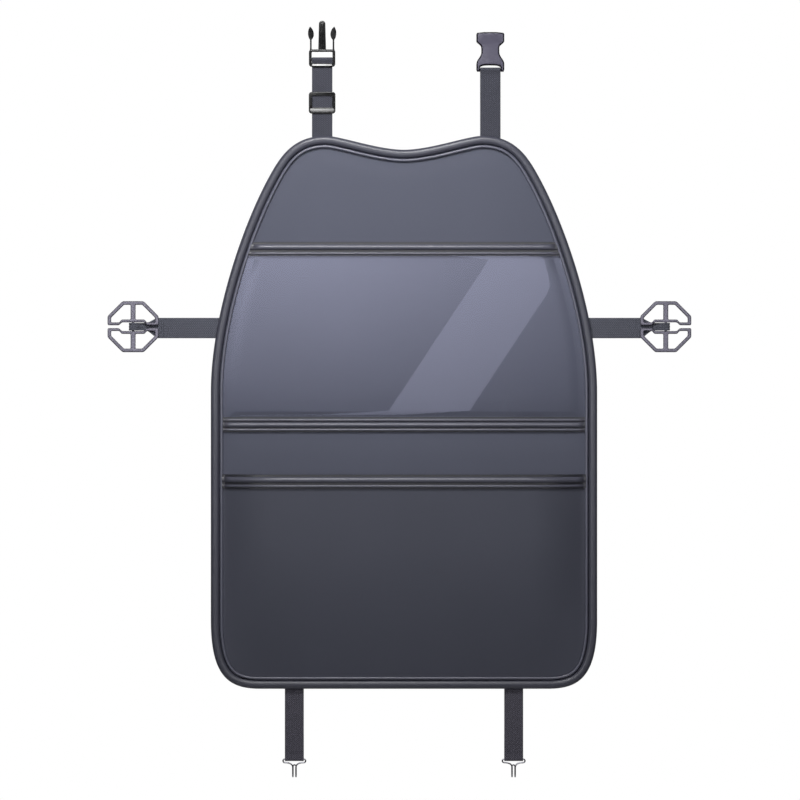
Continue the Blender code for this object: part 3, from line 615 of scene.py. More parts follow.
class Palette:
    """Every look of the organizer, made once."""

    def __init__(self) -> None:
        """Makes the materials."""
        leather, webbing = Slot.LEATHERETTE, Slot.WEBBING
        # One slate leatherette in lit and shaded copies: the pocket is painted darker as shade on the
        # lower part, the binding a little darker, and the trims and piping lighter as painted highlight
        # on their rolls.
        self.face = self._look(leather, "face_leatherette", Leatherette())
        self.pocket = self._look(leather, "pocket_leatherette", Leatherette((83, 85, 98)))
        self.binding = self._look(leather, "binding_leatherette", Leatherette((78, 79, 92), 0.38, 0.65))
        self.trim = self._look(leather, "trim_leatherette", Leatherette((92, 93, 108), 0.36, 0.75, 0.75))
        self.piping = self._look(leather, "piping_leatherette", Leatherette((104, 105, 122), 0.34, 0.8))
        self.film = self._look(Slot.FILM, "window_film", ClearFilm())
        # One webbing in three copies with painted light and shade: darker on the headrest straps, lighter
        # on the side and bottom straps, to offset how the lamps fall on them.
        self.webbing = self._look(webbing, "headrest_webbing", Webbing((70, 71, 81)))
        self.side_webbing = self._look(webbing, "side_webbing", Webbing((92, 94, 105)))
        self.low_webbing = self._look(webbing, "bottom_webbing", Webbing((88, 86, 97)))
        self.lining = self._look(Slot.LINING, "lining_cloth", LiningCloth())
        self.board = self._look(Slot.BOARD, "stiffener_board", Fibreboard())
        self.black = self._look(Slot.BLACK_PLASTIC, "black_plastic", Plastic((9, 9, 12), 0.22, 0.6))
        # The buckle and anchor plastics get painted shade round their rims.
        grey = Plastic((82, 79, 98), 0.36, rim=0.92)
        self.grey = self._look(Slot.GREY_PLASTIC, "buckle_plastic", grey)
        anchor = Plastic((136, 133, 150), 0.36, rim=0.5)
        self.anchor = self._look(Slot.GREY_PLASTIC, "anchor_plastic", anchor)
        self.steel = self._look(Slot.STEEL, "plated_steel", PlatedSteel())
        self.thread = Thread().material("sewing_thread")

    @staticmethod
    def _look(slot: Slot, name: str, finish: Finish) -> Look:
        """Look of a finish, in a material under a name."""
        return Look(slot, finish.material(name))


# Outline of the panel


@dataclass(frozen=True)
class Station:
    """Point of the outline, with the way inwards and its distance along the outline."""

    x: float
    z: float
    in_x: float
    in_z: float
    along: float

    def at(self, inset: float, out: float) -> Drawn:
        """Drawn point at a distance inwards from the outline."""
        return (self.x + self.in_x * inset, self.z + self.in_z * inset, out)


@dataclass
class PanelOutline:
    """Outline of the panel: two crests, sloping shoulders, straight sides and round lower corners."""

    half_width: float = 0.2364
    top: float = 0.338
    bottom: float = -0.3387
    crest_x: float = 0.0955
    notch_depth: float = 0.017
    shoulder: Flat = (0.0734, 0.0464)
    shoulder_angle: float = math.radians(60.6)
    side_drop: float = 0.3135
    corner: Flat = (0.0604, 0.0837)
    notch_reach: float = 0.032
    crest_reach: Flat = (0.017, 0.039)
    shoulder_reach: Flat = (0.026, 0.070)
    side_reach: float = 0.0915
    corner_reach: Flat = (0.0708, 0.0368)
    steps: int = 120
    spacing: float = 0.0028
    points: np.ndarray = field(init=False)
    inwards: np.ndarray = field(init=False)
    along: np.ndarray = field(init=False)

    def __post_init__(self) -> None:
        """Draws the right half, from the notch to the middle of the base."""
        across, down = Vector((1, 0)), Vector((0, -1))
        fall = Vector((math.cos(self.shoulder_angle), -math.sin(self.shoulder_angle)))
        notch = Vector((0, self.top - self.notch_depth))
        crest = Vector((self.crest_x, self.top))
        shoulder = Vector((self.half_width - self.shoulder[0], self.top - self.shoulder[1]))
        side = Vector((self.half_width, self.top - self.side_drop))
        corner = Vector((self.half_width, self.bottom + self.corner[1]))
        base = Vector((self.half_width - self.corner[0], self.bottom))
        middle = Vector((0, self.bottom))
        spans = (
            (notch, notch + across * self.notch_reach, crest - across * self.crest_reach[0], crest),
            (
                crest,
                crest + across * self.crest_reach[1],
                shoulder - fall * self.shoulder_reach[0],
                shoulder,
            ),
            (shoulder, shoulder + fall * self.shoulder_reach[1], side - down * self.side_reach, side),
            (side, side.lerp(corner, 1 / 3), side.lerp(corner, 2 / 3), corner),
            (corner, corner + down * self.corner_reach[0], base + across * self.corner_reach[1], base),
            (base, base.lerp(middle, 1 / 3), base.lerp(middle, 2 / 3), middle),
        )
        drawn = [bezier(span, i / self.steps) for span in spans for i in range(self.steps)]
        drawn.append((middle, -across))
        points = np.array([tuple(point) for point, _ in drawn])
        inwards = np.array([(way.y, -way.x) for _, way in drawn])
        lengths = np.linalg.norm(np.diff(points, axis=0), axis=1)
        along = np.concatenate(([0.0], np.cumsum(lengths)))
        count = round(along[-1] / self.spacing)
        even = np.linspace(0.0, along[-1], count + 1)
        self.points = np.stack([np.interp(even, along, points[:, i]) for i in range(2)], axis=1)
        normals = np.stack([np.interp(even, along, inwards[:, i]) for i in range(2)], axis=1)
        self.inwards = normals / np.linalg.norm(normals, axis=1)[:, None]
        self.along = even

    def stations(self) -> list[Station]:
        """Stations all round, clockwise from the notch."""
        right = [
            Station(point[0], point[1], way[0], way[1], along)
            for point, way, along in zip(self.points, self.inwards, self.along)
        ]
        whole = 2 * self.along[-1]
        left = [Station(-s.x, s.z, -s.in_x, s.in_z, whole - s.along) for s in reversed(right[1:-1])]
        return right + left

    def half_at(self, z: float, inset: float) -> float:
        """Half the width of the inset outline at a height, below its crests."""
        moved = self.points + self.inwards * inset
        start = int(np.argmax(moved[:, 1]))
        return float(np.interp(-z, -moved[start:, 1], moved[start:, 0]))

    def rows_below(self, z: float, inset: float) -> list[float]:
        """Heights of the inset outline's stations below a height, down to its base."""
        moved = self.points + self.inwards * inset
        base = float(moved[-1, 1])
        return [float(row) for row in moved[:, 1] if base + WELD < row < z - self.spacing / 2] + [base]

    def span_at(self, x: float, inset: float) -> Flat:
        """Lowest and highest point of the inset outline at a distance from its middle."""
        moved = self.points + self.inwards * inset
        widest = int(np.argmax(moved[:, 0]))
        x = min(abs(x), float(moved[widest, 0]))
        high = float(np.interp(x, moved[: widest + 1, 0], moved[: widest + 1, 1]))
        last = len(moved) - 1 - int(np.argmax(moved[::-1, 0]))
        lower = moved[last:][::-1]
        return float(np.interp(x, lower[:, 0], lower[:, 1])), high

    def near(self, inset: float) -> KDTree:
        """Search tree over the inset outline, for distances from it."""
        moved = [station.at(inset, 0.0) for station in self.stations()]
        tree = KDTree(len(moved))
        for index, (x, z, _) in enumerate(moved):
            tree.insert((x, z, 0.0), index)
        tree.balance()
        return tree


@dataclass(frozen=True)
class Layers:
    """Levels of the panel's layers in front of its back."""

    web_low: float = 0.0011
    web: float = 0.0012
    face_top: float = 0.0046
    sheet_low: float = 0.0049
    gap: float = 0.0003
    binding_width: float = 0.0105
    binding_top: float = 0.0091
    piping_inset: float = 0.0115
    piping_width: float = 0.0034
    piping_top: float = 0.0086
    pocket_inset: float = 0.0152
    thin_web: float = 0.0011
    anchor: float = 0.0035

    @property
    def top_left_axis(self) -> float:
        """Middle of the left headrest strap's two layers."""
        return self.web_low + self.web - self.thin_web - self.gap / 2

    @property
    def loop_axis(self) -> float:
        """Middle between a strap and its return."""
        return self.web_low - self.gap / 2

    @property
    def anchor_axis(self) -> float:
        """Middle of the anchors, which lie in front of the side straps."""
        return self.web_low + self.web + self.gap + self.anchor / 2


def swept_loop(name: str, stations: Sequence[Station], profile: Sequence[Flat]) -> Piece:
    """Closed profile of (inset, out) points carried all round the outline."""
    points = [world(station.at(inset, out)) for station in stations for inset, out in profile]
    item = mesh_object(name, points, grid_faces(len(stations), len(profile), True, True))
    lengths = [0.0]
    for a, b in zip(profile, profile[1:]):
        lengths.append(lengths[-1] + math.dist(a, b))
    give_uv(item, [(station.along, length) for station in stations for length in lengths])
    return item


# Stitches


@dataclass(frozen=True)
class StitchSize:
    """Pitch, length and thickness of a row of stitches."""

    pitch: float = 0.0034
    length: float = 0.0026
    thickness: float = 0.0005


class StitchTree:
    """Geometry Nodes tree that lays a thread stitch at every pitch along a run."""

    def __init__(self, thread: Material) -> None:
        """Builds the tree.

        Args:
            thread: Material of the stitches.
        """
        self.thread = thread
        self.tree = bpy.data.node_groups.new("stitch_run", "GeometryNodeTree")
        sockets = self.tree.interface
        sockets.new_socket("Runs", in_out="INPUT", socket_type="NodeSocketGeometry")
        for name in ("Pitch", "Length", "Thickness"):
            sockets.new_socket(name, in_out="INPUT", socket_type="NodeSocketFloat")
        sockets.new_socket("Thread", in_out="INPUT", socket_type="NodeSocketMaterial")
        sockets.new_socket("Stitches", in_out="OUTPUT", socket_type="NodeSocketGeometry")
        self.inputs = {
            item.name: item.identifier for item in sockets.items_tree if item.in_out == "INPUT"
        }
        self._build()

    def _build(self) -> None:
        """Adds and links the nodes."""
        kinds = {
            "source": "NodeGroupInput",
            "result": "NodeGroupOutput",
            "curve": "GeometryNodeMeshToCurve",
            "points": "GeometryNodeCurveToPoints",
            "turn": "FunctionNodeAlignRotationToVector",
            "ball": "GeometryNodeMeshUVSphere",
            "size": "ShaderNodeCombineXYZ",
            "copies": "GeometryNodeInstanceOnPoints",
            "real": "GeometryNodeRealizeInstances",
            "shaded": "GeometryNodeSetShadeSmooth",
            "dressed": "GeometryNodeSetMaterial",
        }
        node = {key: self.tree.nodes.new(kind) for key, kind in kinds.items()}
        node["points"].mode = "LENGTH"
        node["turn"].axis = "X"
        for key, value in {"Segments": 8, "Rings": 5, "Radius": 0.5}.items():
            node["ball"].inputs[key].default_value = value
        wires = (
            ("source", "Runs", "curve", 0),
            ("curve", 0, "points", "Curve"),
            ("source", "Pitch", "points", "Length"),
            ("points", "Tangent", "turn", "Vector"),
            ("source", "Length", "size", 0),
            ("source", "Thickness", "size", 1),
            ("source", "Thickness", "size", 2),
            ("points", "Points", "copies", "Points"),
            ("ball", "Mesh", "copies", "Instance"),
            ("turn", 0, "copies", "Rotation"),
            ("size", 0, "copies", "Scale"),
            ("copies", 0, "real", 0),
            ("real", 0, "shaded", 0),
            ("shaded", 0, "dressed", "Geometry"),
            ("source", "Thread", "dressed", "Material"),
            ("dressed", 0, "result", 0),
        )
        for start, output, end, entry in wires:
            self.tree.links.new(node[start].outputs[output], node[end].inputs[entry])

    def sew(self, name: str, runs: Sequence[Sequence[Vector]], size: StitchSize, slot: Slot) -> Piece:
        """Plain mesh of stitches along runs of the panel and its straps.

        Args:
            name: Name of the piece.
            runs: Lines that the stitches follow, as places.
            size: Size of the stitches.
            slot: Record slot of the cloth that they are in.

        Returns:
            The finished piece.
        """
        points: list[Vector] = []
        edges: list[tuple[int, int]] = []
        for run in runs:
            start = len(points)
            points.extend(run)
            edges.extend((i, i + 1) for i in range(start, len(points) - 1))
        lines = bpy.data.meshes.new(name + "_runs")
        lines.from_pydata([tuple(point) for point in points], edges, [])
        guide = new_object(name + "_runs", lines)
        step = guide.modifiers.new("stitches", "NODES")
        step.node_group = self.tree
        values = {"Pitch": size.pitch, "Length": size.length, "Thickness": size.thickness}
        for key, value in {**values, "Thread": self.thread}.items():
            step[self.inputs[key]] = value
        data = evaluated_mesh(guide)
        data.name = name
        bpy.data.objects.remove(guide)
        bpy.data.meshes.remove(lines)
        return place(new_object(name, data), "panel", Look(slot, self.thread))


# Sewn panel


def sheet_mesh(name: str, front: np.ndarray, thickness: float) -> Piece:
    """Closed sheet whose front side is a grid of drawn points.

    Args:
        name: Name of the piece.
        front: Drawn points as rows x columns x 3, of which the last is the distance out.
        thickness: Thickness of the sheet, measured inwards from its front.

    Returns:
        The new object.
    """
    rows, columns = front.shape[:2]
    down = np.gradient(front, axis=0)
    across = np.gradient(front, axis=1)
    normals = np.cross(down, across)
    normals /= np.linalg.norm(normals, axis=2)[:, :, None]
    normals *= np.sign(normals[:, :, 2:3])
    back = front - normals * thickness
    points = [world(point) for point in np.concatenate([front.reshape(-1, 3), back.reshape(-1, 3)])]
    shift = rows * columns
    faces = grid_faces(rows, columns, False, False)
    faces += [tuple(index + shift for index in reversed(face)) for face in faces]
    edge = [*range(columns)]
    edge += [i * columns + columns - 1 for i in range(1, rows)]
    edge += [(rows - 1) * columns + j for j in range(columns - 2, -1, -1)]
    edge += [i * columns for i in range(rows - 2, 0, -1)]
    faces += [(a, b, b + shift, a + shift) for a, b in zip(edge, edge[1:] + edge[:1])]
    return mesh_object(name, points, faces)


@dataclass(frozen=True)
class Cloth:
    """Cut sheet: its piece, the CAD node that it stands for, its sizes and support."""

    name: str
    node: str
    thickness: float
    flat: Flat
    rests_on: str

    def sewn(self, front: np.ndarray, look: Look, tapes: Sequence[Piece]) -> None:
        """Args:
            front: Grid of drawn points of its front.
            look: Its look.
            tapes: Pieces that are sewn to it; not used.
        """
        item = sheet_mesh(self.name, front, self.thickness)
        place(item, "panel", look, self.node)


FACE = Cloth("face_sheet", "face_panel", 0.0012, (0.452, 0.656), "stiffener_board")
LINING = Cloth("back_cloth", "back_lining", 0.00035, (0.455, 0.660), "stiffener_board")
FILM = Cloth("clear_window", "window_film", 0.0006, (0.446, 0.234), "face_sheet")
POCKET = Cloth("pocket_sheet", "lower_pocket", 0.0012, (0.448, 0.252), "face_sheet")


@dataclass
class Sewn:
    """What every sewn part is made with."""

    outline: PanelOutline
    layers: Layers
    palette: Palette
    stitches: StitchTree


@dataclass
class SewnPanel(Sewn):
    """Lining, face sheet, rolled binding and piping round the stiffener board."""

    columns: int = 141
    rows: int = 171
    puff: float = 0.0009
    puff_run: float = 0.024
    ripple: float = 0.0001
    calm_inset: float = 0.0149
    calm_edge: float = 0.001
    crest_z: float = 0.29
    calm_band: Flat = (-0.0262, -0.0042)
    lining_inset: float = 0.009
    lining_level: float = 0.00065
    lining_wave: float = 0.00022
    flange: float = 0.0136
    flange_thickness: float = 0.00055
    roll_height: float = 0.0085
    roll_turn: Flat = (-14.0, 252.0)
    roll_steps: int = 22
    piping_steps: int = 16
    pucker: float = 0.00012

    def build(self) -> None:
        """Makes the panel's pieces and dresses its board."""
        tapes = [self._binding(), self._piping()]
        seam = self._back_seam()
        self._face(tapes)
        self._lining([seam])
        dress(FRAME["nodes"]["stiffener_board"], self.palette.board.material)

    def _grid(self, inset: float, level: Callable[[float, float], float]) -> np.ndarray:
        """Grid of drawn points that fills the inset outline.

        Args:
            inset: Distance of its edge from the outline.
            level: Distance out for a place.

        Returns:
            The points as rows x columns x 3.
        """
        widest = self.outline.half_at(0.0, inset)
        grid = np.zeros((self.rows, self.columns, 3))
        for j in range(self.columns):
            share = 2 * j / (self.columns - 1) - 1
            x = widest * math.sin(share * math.pi / 2)
            low, high = self.outline.span_at(x, inset)
            for i in range(self.rows):
                z = low + (high - low) * (1 - math.cos(math.pi * i / (self.rows - 1))) / 2
                grid[i, j] = (x, z, level(x, z))
        return grid

    def _face(self, tapes: Sequence[Piece]) -> None:
        """Face sheet, which swells a little between its seams."""
        near = self.outline.near(self.layers.piping_inset + self.layers.piping_width)
        low, high = self.calm_band

        def level(x: float, z: float) -> float:
            """Front of the face sheet."""
            from_seam = near.find((x, z, 0.0))[2]
            inside = from_seam > self.calm_edge
            if z < self.crest_z:
                inside = abs(x) < self.outline.half_at(z, self.calm_inset)
            if not inside:
                return self.layers.face_top
            from_band = max(low - z, z - high, 0.0)
            rise = smooth(from_seam / self.puff_run) * smooth(from_band / self.puff_run)
            ripple = noise.noise(Vector((x * 14, z * 14, 3.0))) * self.ripple
            return self.layers.face_top + (self.puff + ripple) * rise

        front = self._grid(self.layers.binding_width + self.layers.gap, level)
        FACE.sewn(front, self.palette.face, tapes)

    def _lining(self, tapes: Sequence[Piece]) -> None:
        """Backing cloth, with slack waves between its seams."""
        near = self.outline.near(self.lining_inset)

        def level(x: float, z: float) -> float:
            """Inner side of the lining, towards the board."""
            slack = smooth((near.find((x, z, 0.0))[2] - 0.008) / 0.04)
            wave = noise.noise(Vector((x * 9, z * 7, 8.0)))
            wave += noise.noise(Vector((x * 24, z * 20, 1.0))) * 0.4
            return self.lining_level + LINING.thickness - slack * self.lining_wave * abs(wave)

        LINING.sewn(self._grid(self.lining_inset, level), self.palette.lining, tapes)

    def _binding(self) -> Piece:
        """Rolled binding, whose tape wraps round to the back."""
        half = self.layers.binding_width / 2
        tall = self.roll_height / 2
        start, end = (math.radians(turn) for turn in self.roll_turn)
        turned = arc((0, 0), 1, start, end, self.roll_steps)
        profile = [(half + half * x, self.layers.binding_top - tall + tall * y) for x, y in turned]
        back = self.flange_thickness
        edge = self.flange
        profile += [(0.0052, 0.00032), (0.0072, 0.0001), (edge - 0.0003, 0.00004), (edge, back / 2)]
        profile += [(edge - 0.0003, back), (0.0112, back + 0.0002), (0.0106, 0.0022)]
        item = swept_loop("rolled_binding", self.outline.stations(), profile)
        for vertex in item.data.vertices:
            x, y, z = vertex.co
            pull = noise.noise(Vector((x * 60, z * 60, y * 30))) * self.pucker
            vertex.co.y += pull if y < -0.003 else 0.0
        return place(item, "panel", self.palette.binding, "edge_binding")

    def _piping(self) -> Piece:
        """Thin piping inside the binding."""
        radius = self.layers.piping_width / 2
        centre = (self.layers.piping_inset + radius, self.layers.piping_top - radius)
        profile = arc(centre, radius, 0, 2 * math.pi, self.piping_steps)[:-1]
        item = swept_loop("thin_piping", self.outline.stations(), profile)
        return place(item, "panel", self.palette.piping, "inner_piping")

    def _back_seam(self) -> Piece:
        """Stitches along the binding's flange on the back."""
        stations = self.outline.stations()
        run = [world(station.at(self.flange - 0.0022, 0.00005)) for station in stations]
        return self.stitches.sew("back_seam", [run + run[:1]], StitchSize(), Slot.LEATHERETTE)


# Pockets


@dataclass(frozen=True)
class TrimRoll:
    """Roll on a trim tape: its middle's distance from the top, its width and height."""

    drop: float
    width: float
    height: float


THICK_ROLL = 0.0036
THIN_ROLL = 0.0021
MOUTH_ROLLS = (TrimRoll(0.0064, 0.0070, THICK_ROLL), TrimRoll(0.0141, 0.0036, THIN_ROLL))
BASE_ROLLS = (
    TrimRoll(0.0037, 0.0036, THIN_ROLL),
    TrimRoll(0.0096, 0.0066, THICK_ROLL),
    TrimRoll(0.0156, 0.0036, THIN_ROLL),
)
MOUTH_SEAMS = (0.01105,)
BASE_SEAMS = (0.0059, 0.01335)
TRIM_STITCH = StitchSize(0.003, 0.0023, 0.00042)


@dataclass
class Pocket(Sewn):
    """Pocket whose bowed sheet is sewn down at its sides and foot, with a trimmed, open mouth."""

    cloth: Cloth
    mouth: float
    bottom: float
    flat: float
    bow: float
    shoulder: float
    foot: float
    wave: float = 0.0
    hem: float = 0.002
    lift: float = 0.0011
    trim_height: float = 0.0168
    trim_base: float = 0.0009
    leg_length: float = 0.009
    shoulder_steps: int = 14
    middle_steps: int = 30
    roll_steps: int = 12
    trim_columns: int = 97
    row_gap: float = 0.0004
    calm: float = 0.03
    tuck: float = 0.0014
    tuck_run: float = 0.009
    tuck_rise: float = 0.3
    tuck_groove: float = 0.8
    groove_rise: float = 0.0011

    def __post_init__(self) -> None:
        """Works out the band and the mouth's half width."""
        self.band = self.mouth - self.trim_height
        self.mouth_half = self.outline.half_at(self.mouth, self.layers.pocket_inset) - self.hem
        self.band_half = self.outline.half_at(self.band, self.layers.pocket_inset)

    def bowed_half(self, z: float) -> float:
        """Half the bowed width at a height."""
        if z >= self.band:
            return self.mouth_half
        return self.mouth_half + self.outline.half_at(z, self.layers.pocket_inset) - self.band_half

    def depth(self, inwards: float, z: float) -> float:
        """Level of the sheet's back at a distance inwards from its bowed edge."""
        lift = smooth((z - self.band) / (self.trim_height - self.leg_length - self.hem / 2)) * self.lift
        rise = swell((z - self.bottom - self.flat) / self.foot)
        return self.layers.sheet_low + lift + self.bow * rise * swell(inwards / self.shoulder)

    def heights(self) -> list[float]:
        """Heights of the sheet's rows, from the mouth down."""
        top = self.mouth - self.trim_base - self.layers.gap
        foot = self.bottom + self.flat + self.foot
        rows = [top - (top - self.band) * i / 10 for i in range(10)]
        rows += [self.band - (self.band - foot) * i / 40 for i in range(40)]
        rows += [row for row in np.linspace(foot, self.bottom, 19)]
        outline_rows = self.outline.rows_below(foot, self.layers.pocket_inset)
        rows = sorted(set(rows) | {row for row in outline_rows if row > self.bottom}, reverse=True)
        kept = rows[:1]
        for row in rows[1:]:
            if kept[-1] - row > self.row_gap or row == rows[-1]:
                kept.append(row)
        return kept

    def front(self) -> np.ndarray:
        """Grid of drawn points of the sheet's front."""
        rows = []
        for z in self.heights():
            half = self.bowed_half(z)
            insets = [self.shoulder * i / self.shoulder_steps for i in range(self.shoulder_steps + 1)]
            inner = half - self.shoulder
            steps = self.middle_steps
            insets += [self.shoulder + inner * i / steps for i in range(1, steps + 1)]
            edge = self.outline.half_at(z, self.layers.pocket_inset)
            right = [(edge, 0.0), *((half - inset, inset) for inset in insets)]
            row = [(-x, inset) for x, inset in right] + [*reversed(right[:-1])]
            rows.append([self._point(x, z, inset) for x, inset in row])
        return np.array(rows)

    def _point(self, x: float, z: float, inwards: float) -> Drawn:
        """Drawn point of the sheet's front."""
        calm = smooth(inwards / self.calm) * smooth((z - self.bottom - self.flat) / self.calm)
        calm *= smooth((self.band - z) / self.calm)
        wave = noise.noise(Vector((x * 11, z * 9, 5.0))) * self.wave * calm
        return (x, z, self.depth(inwards, z) + self.cloth.thickness + wave)

    def _mouth_level(self, x: float, bowed: bool) -> float:
        """Level of the sheet's back along its mouth, or 0 for a tape that lies flat."""
        return self.depth(self.mouth_half - abs(x), self.mouth) if bowed else 0.0

    def trim(self, name: str, node: str, top: float, section: Sequence[Flat], bowed: bool) -> Piece:
        """Tape across the panel whose ends run under the piping.

        Args:
            name: Name of the piece.
            node: CAD node that it replaces.
            top: Height of its top edge.
            section: Closed section of (up, out) points.
            bowed: Whether it follows the bowed mouth.

        Returns:
            The finished piece.
        """
        columns, base = self.trim_columns, section[-1][1]
        points, groove_shades = [], []
        for j in range(columns):
            share = math.sin((2 * j / (columns - 1) - 1) * math.pi / 2)
            for up, out in section:
                x = share * self.outline.half_at(top + up, self.layers.pocket_inset - self.tuck)
                to_end = self.outline.half_at(top + up, self.layers.pocket_inset) - abs(x)
                full = smooth(to_end / self.tuck_run)
                rise = max(out - base, 0.0)
                kept = self.tuck_rise + (1 - self.tuck_rise) * full
                level = self._mouth_level(x, bowed) + min(out, base) + rise * kept
                points.append(world((x, top + up, level)))
                # Painted shade: darker where the tape lies low between its rolls, and at its tucked ends.
                groove = max(1.0 - rise / self.groove_rise, self.tuck_groove * (1.0 - full))
                groove_shades.append(max(groove, 0.0))
        faces = grid_faces(columns, len(section), False, True)
        faces.append(tuple(range(len(section))))
        faces.append(tuple(range((columns - 1) * len(section), columns * len(section))))
        item = mesh_object(name, points, faces)
        mark_dark(item, groove_shades)
        return place(item, "panel", self.palette.trim, node)

    def rolls(self, rolls: Sequence[TrimRoll], base: float) -> list[Flat]:
        """Rolls of a tape as (up, out) points, from its top edge down."""
        turned = arc((0, 0), 1, 0, math.pi, self.roll_steps)
        return [(x * r.width / 2 - r.drop, base + y * r.height) for r in rolls for x, y in turned]

    def mouth_trim(self, name: str, node: str) -> list[Piece]:
        """Tape folded over the sheet's top edge, with its row of stitches."""
        front = self.cloth.thickness + self.layers.gap
        inside, back = -self.trim_base, -self.layers.gap
        leg = back - self.lift + self.layers.gap
        base = front + self.trim_base
        soft = 0.0004
        section = [(-self.trim_height, front), (inside, front), (inside, back)]
        section += [(-self.leg_length, back), (-self.leg_length, leg), (-soft, leg), (0.0, leg + soft)]
        section += [(0.0, base - soft), (-soft, base)]
        section += self.rolls(MOUTH_ROLLS, base)
        section.append((-self.trim_height, base))
        tape = self.trim(name, node, self.mouth, section, True)
        return [tape, self._seam(name + "_seam", self.mouth, MOUTH_SEAMS, base, True)]

    def _seam(self, name: str, top: float, drops: Sequence[float], out: float, bowed: bool) -> Piece:
        """Rows of stitches along a trim."""
        runs = []
        for drop in drops:
            half = self.outline.half_at(top - drop, self.layers.pocket_inset)
            places = [half * (i / 60 - 1) for i in range(121)]
            runs.append([world((x, top - drop, self._mouth_level(x, bowed) + out)) for x in places])
        return self.stitches.sew(name, runs, TRIM_STITCH, Slot.LEATHERETTE)


class WindowPocket(Pocket):
    """Clear pocket with its trims."""

    def build(self) -> None:
        """Makes the film, the folded mouth trim and the tape over the film's foot."""
        pieces = self.mouth_trim("window_mouth_tape", "window_mouth_trim")
        back = self.layers.sheet_low + self.cloth.thickness
        base = back + self.layers.gap + self.trim_base
        top = self.bottom + self.flat
        section = [(-self.flat, back), (0.0, back), (0.0, base)]
        section += self.rolls(BASE_ROLLS, base)
        section.append((-self.flat, base))
        pieces.append(self.trim("window_base_tape", "window_base_trim", top, section, False))
        pieces.append(self._seam("window_base_tape_seam", top, BASE_SEAMS, base, False))
        self.cloth.sewn(self.front(), self.palette.film, pieces)


class LowerPocket(Pocket):
    """Opaque pocket with its folded mouth trim."""

    def build(self) -> None:
        """Makes the sheet and its trim."""
        pieces = self.mouth_trim("pocket_mouth_tape", "pocket_mouth_trim")
        self.cloth.sewn(self.front(), self.palette.pocket, pieces)


# Webbing

Step = tuple[float, float, float]


@dataclass(frozen=True)
class Spot:
    """Frame that a strap is drawn in: its middle, and the way that it runs."""

    x: float
    z: float
    out: float
    turn: float

    def at(self, across: float, along: float, out: float) -> Vector:
        """Place of a point of the strap."""
        c, s = math.cos(self.turn), math.sin(self.turn)
        return world((self.x + across * c - along * s, self.z + across * s + along * c, self.out + out))


@dataclass(frozen=True)
class LoopedWeb:
    """Webbing that comes from the panel, loops round a bar and returns behind itself."""

    length: float
    tail: float
    width: float
    thickness: float
    bar: float
    gap: float = 0.0003
    neck: float = 0.0044
    steps: int = 18

    def path(self) -> list[Step]:
        """Stations as (along, out, width)."""
        half_gap = (self.thickness + self.gap) / 2
        radius = self.bar + self.gap + self.thickness / 2
        reach = math.hypot(self.neck, half_gap)
        touch = math.pi - math.atan2(half_gap, self.neck) - math.acos(radius / reach)
        straight = [(-self.length + (self.length - self.neck) * i / 30, half_gap) for i in range(31)]
        ring = arc((0, 0), radius, touch, -touch, self.steps)
        back = [(-self.neck - (self.tail - self.neck) * i / 16, -half_gap) for i in range(17)]
        return [(along, out, self.width) for along, out in straight + ring + back]


def eased(start: Step, end: Step, steps: int) -> list[Step]:
    """Stations after the start, up to the end, whose level and width ease over."""
    shares = [(i / steps, smooth(i / steps), smooth(i / steps)) for i in range(1, steps + 1)]
    return [tuple(a + (b - a) * t for a, b, t in zip(start, end, share)) for share in shares]


def ribbon(
    name: str, path: Sequence[Step], thickness: float, spot: Spot, folds: float = 0.0, drift: float = 0.0
) -> Piece:
    """Closed ribbon with rounded edges, whose UV map runs across and along it in metres.

    Args:
        name: Name of the piece.
        path: Stations as (along, out, width).
        thickness: Thickness of the webbing.
        spot: Frame that the strap is drawn in.
        folds: Height of the pleats where the webbing is gathered.
        drift: How far the gathered webbing lies to one side.

    Returns:
        The new object.
    """
    across_steps, edge_steps = 14, 4
    widest = max(width for _, _, width in path)
    points, uv = [], []
    run = 0.0
    ring = 2 * (across_steps - 1) + 2 * (edge_steps + 1)
    for index, (along, out, width) in enumerate(path):
        before, after = path[max(index - 1, 0)], path[min(index + 1, len(path) - 1)]
        way = Vector((after[0] - before[0], after[1] - before[1])).normalized()
        if index:
            run += math.dist(path[index - 1][:2], path[index][:2])
        half = thickness / 2
        flat = width / 2 - half
        section = [(-flat + 2 * flat * i / across_steps, half) for i in range(1, across_steps)]
        section += arc((flat, 0), half, math.pi / 2, -math.pi / 2, edge_steps)
        section += [(flat - 2 * flat * i / across_steps, -half) for i in range(1, across_steps)]
        section += arc((-flat, 0), half, -math.pi / 2, -3 * math.pi / 2, edge_steps)
        gathered = 1 - width / widest
        for side, up in section:
            pleat = folds * gathered * math.cos(5 * math.pi * side / width)
            level = up + pleat
            shifted = side + drift * gathered
            points.append(spot.at(shifted, along - way.y * level, out + way.x * level))
            uv.append((side * widest / width, run))
    faces = grid_faces(len(path), ring, False, True)
    faces.append(tuple(range(ring)))
    faces.append(tuple(range((len(path) - 1) * ring, len(path) * ring)))
    item = mesh_object(name, points, faces)
    give_uv(item, uv)
    return item


def line(spot: Spot, start: Flat, end: Flat, out: float, steps: int) -> list[Vector]:
    """Straight row of stitches, which lies on one side of a strap."""
    shares = [i / steps for i in range(steps + 1)]
    (across, along), (reach, rise) = start, (end[0] - start[0], end[1] - start[1])
    return [spot.at(across + reach * t, along + rise * t, out) for t in shares]


def cross_rows(spot: Spot, along: float, width: float, height: float, out: float) -> list[list[Vector]]:
    """Two rows of stitches across a strap."""
    levels = (along - height / 2, along + height / 2)
    return [line(spot, (-width / 2, level), (width / 2, level), out, 12) for level in levels]


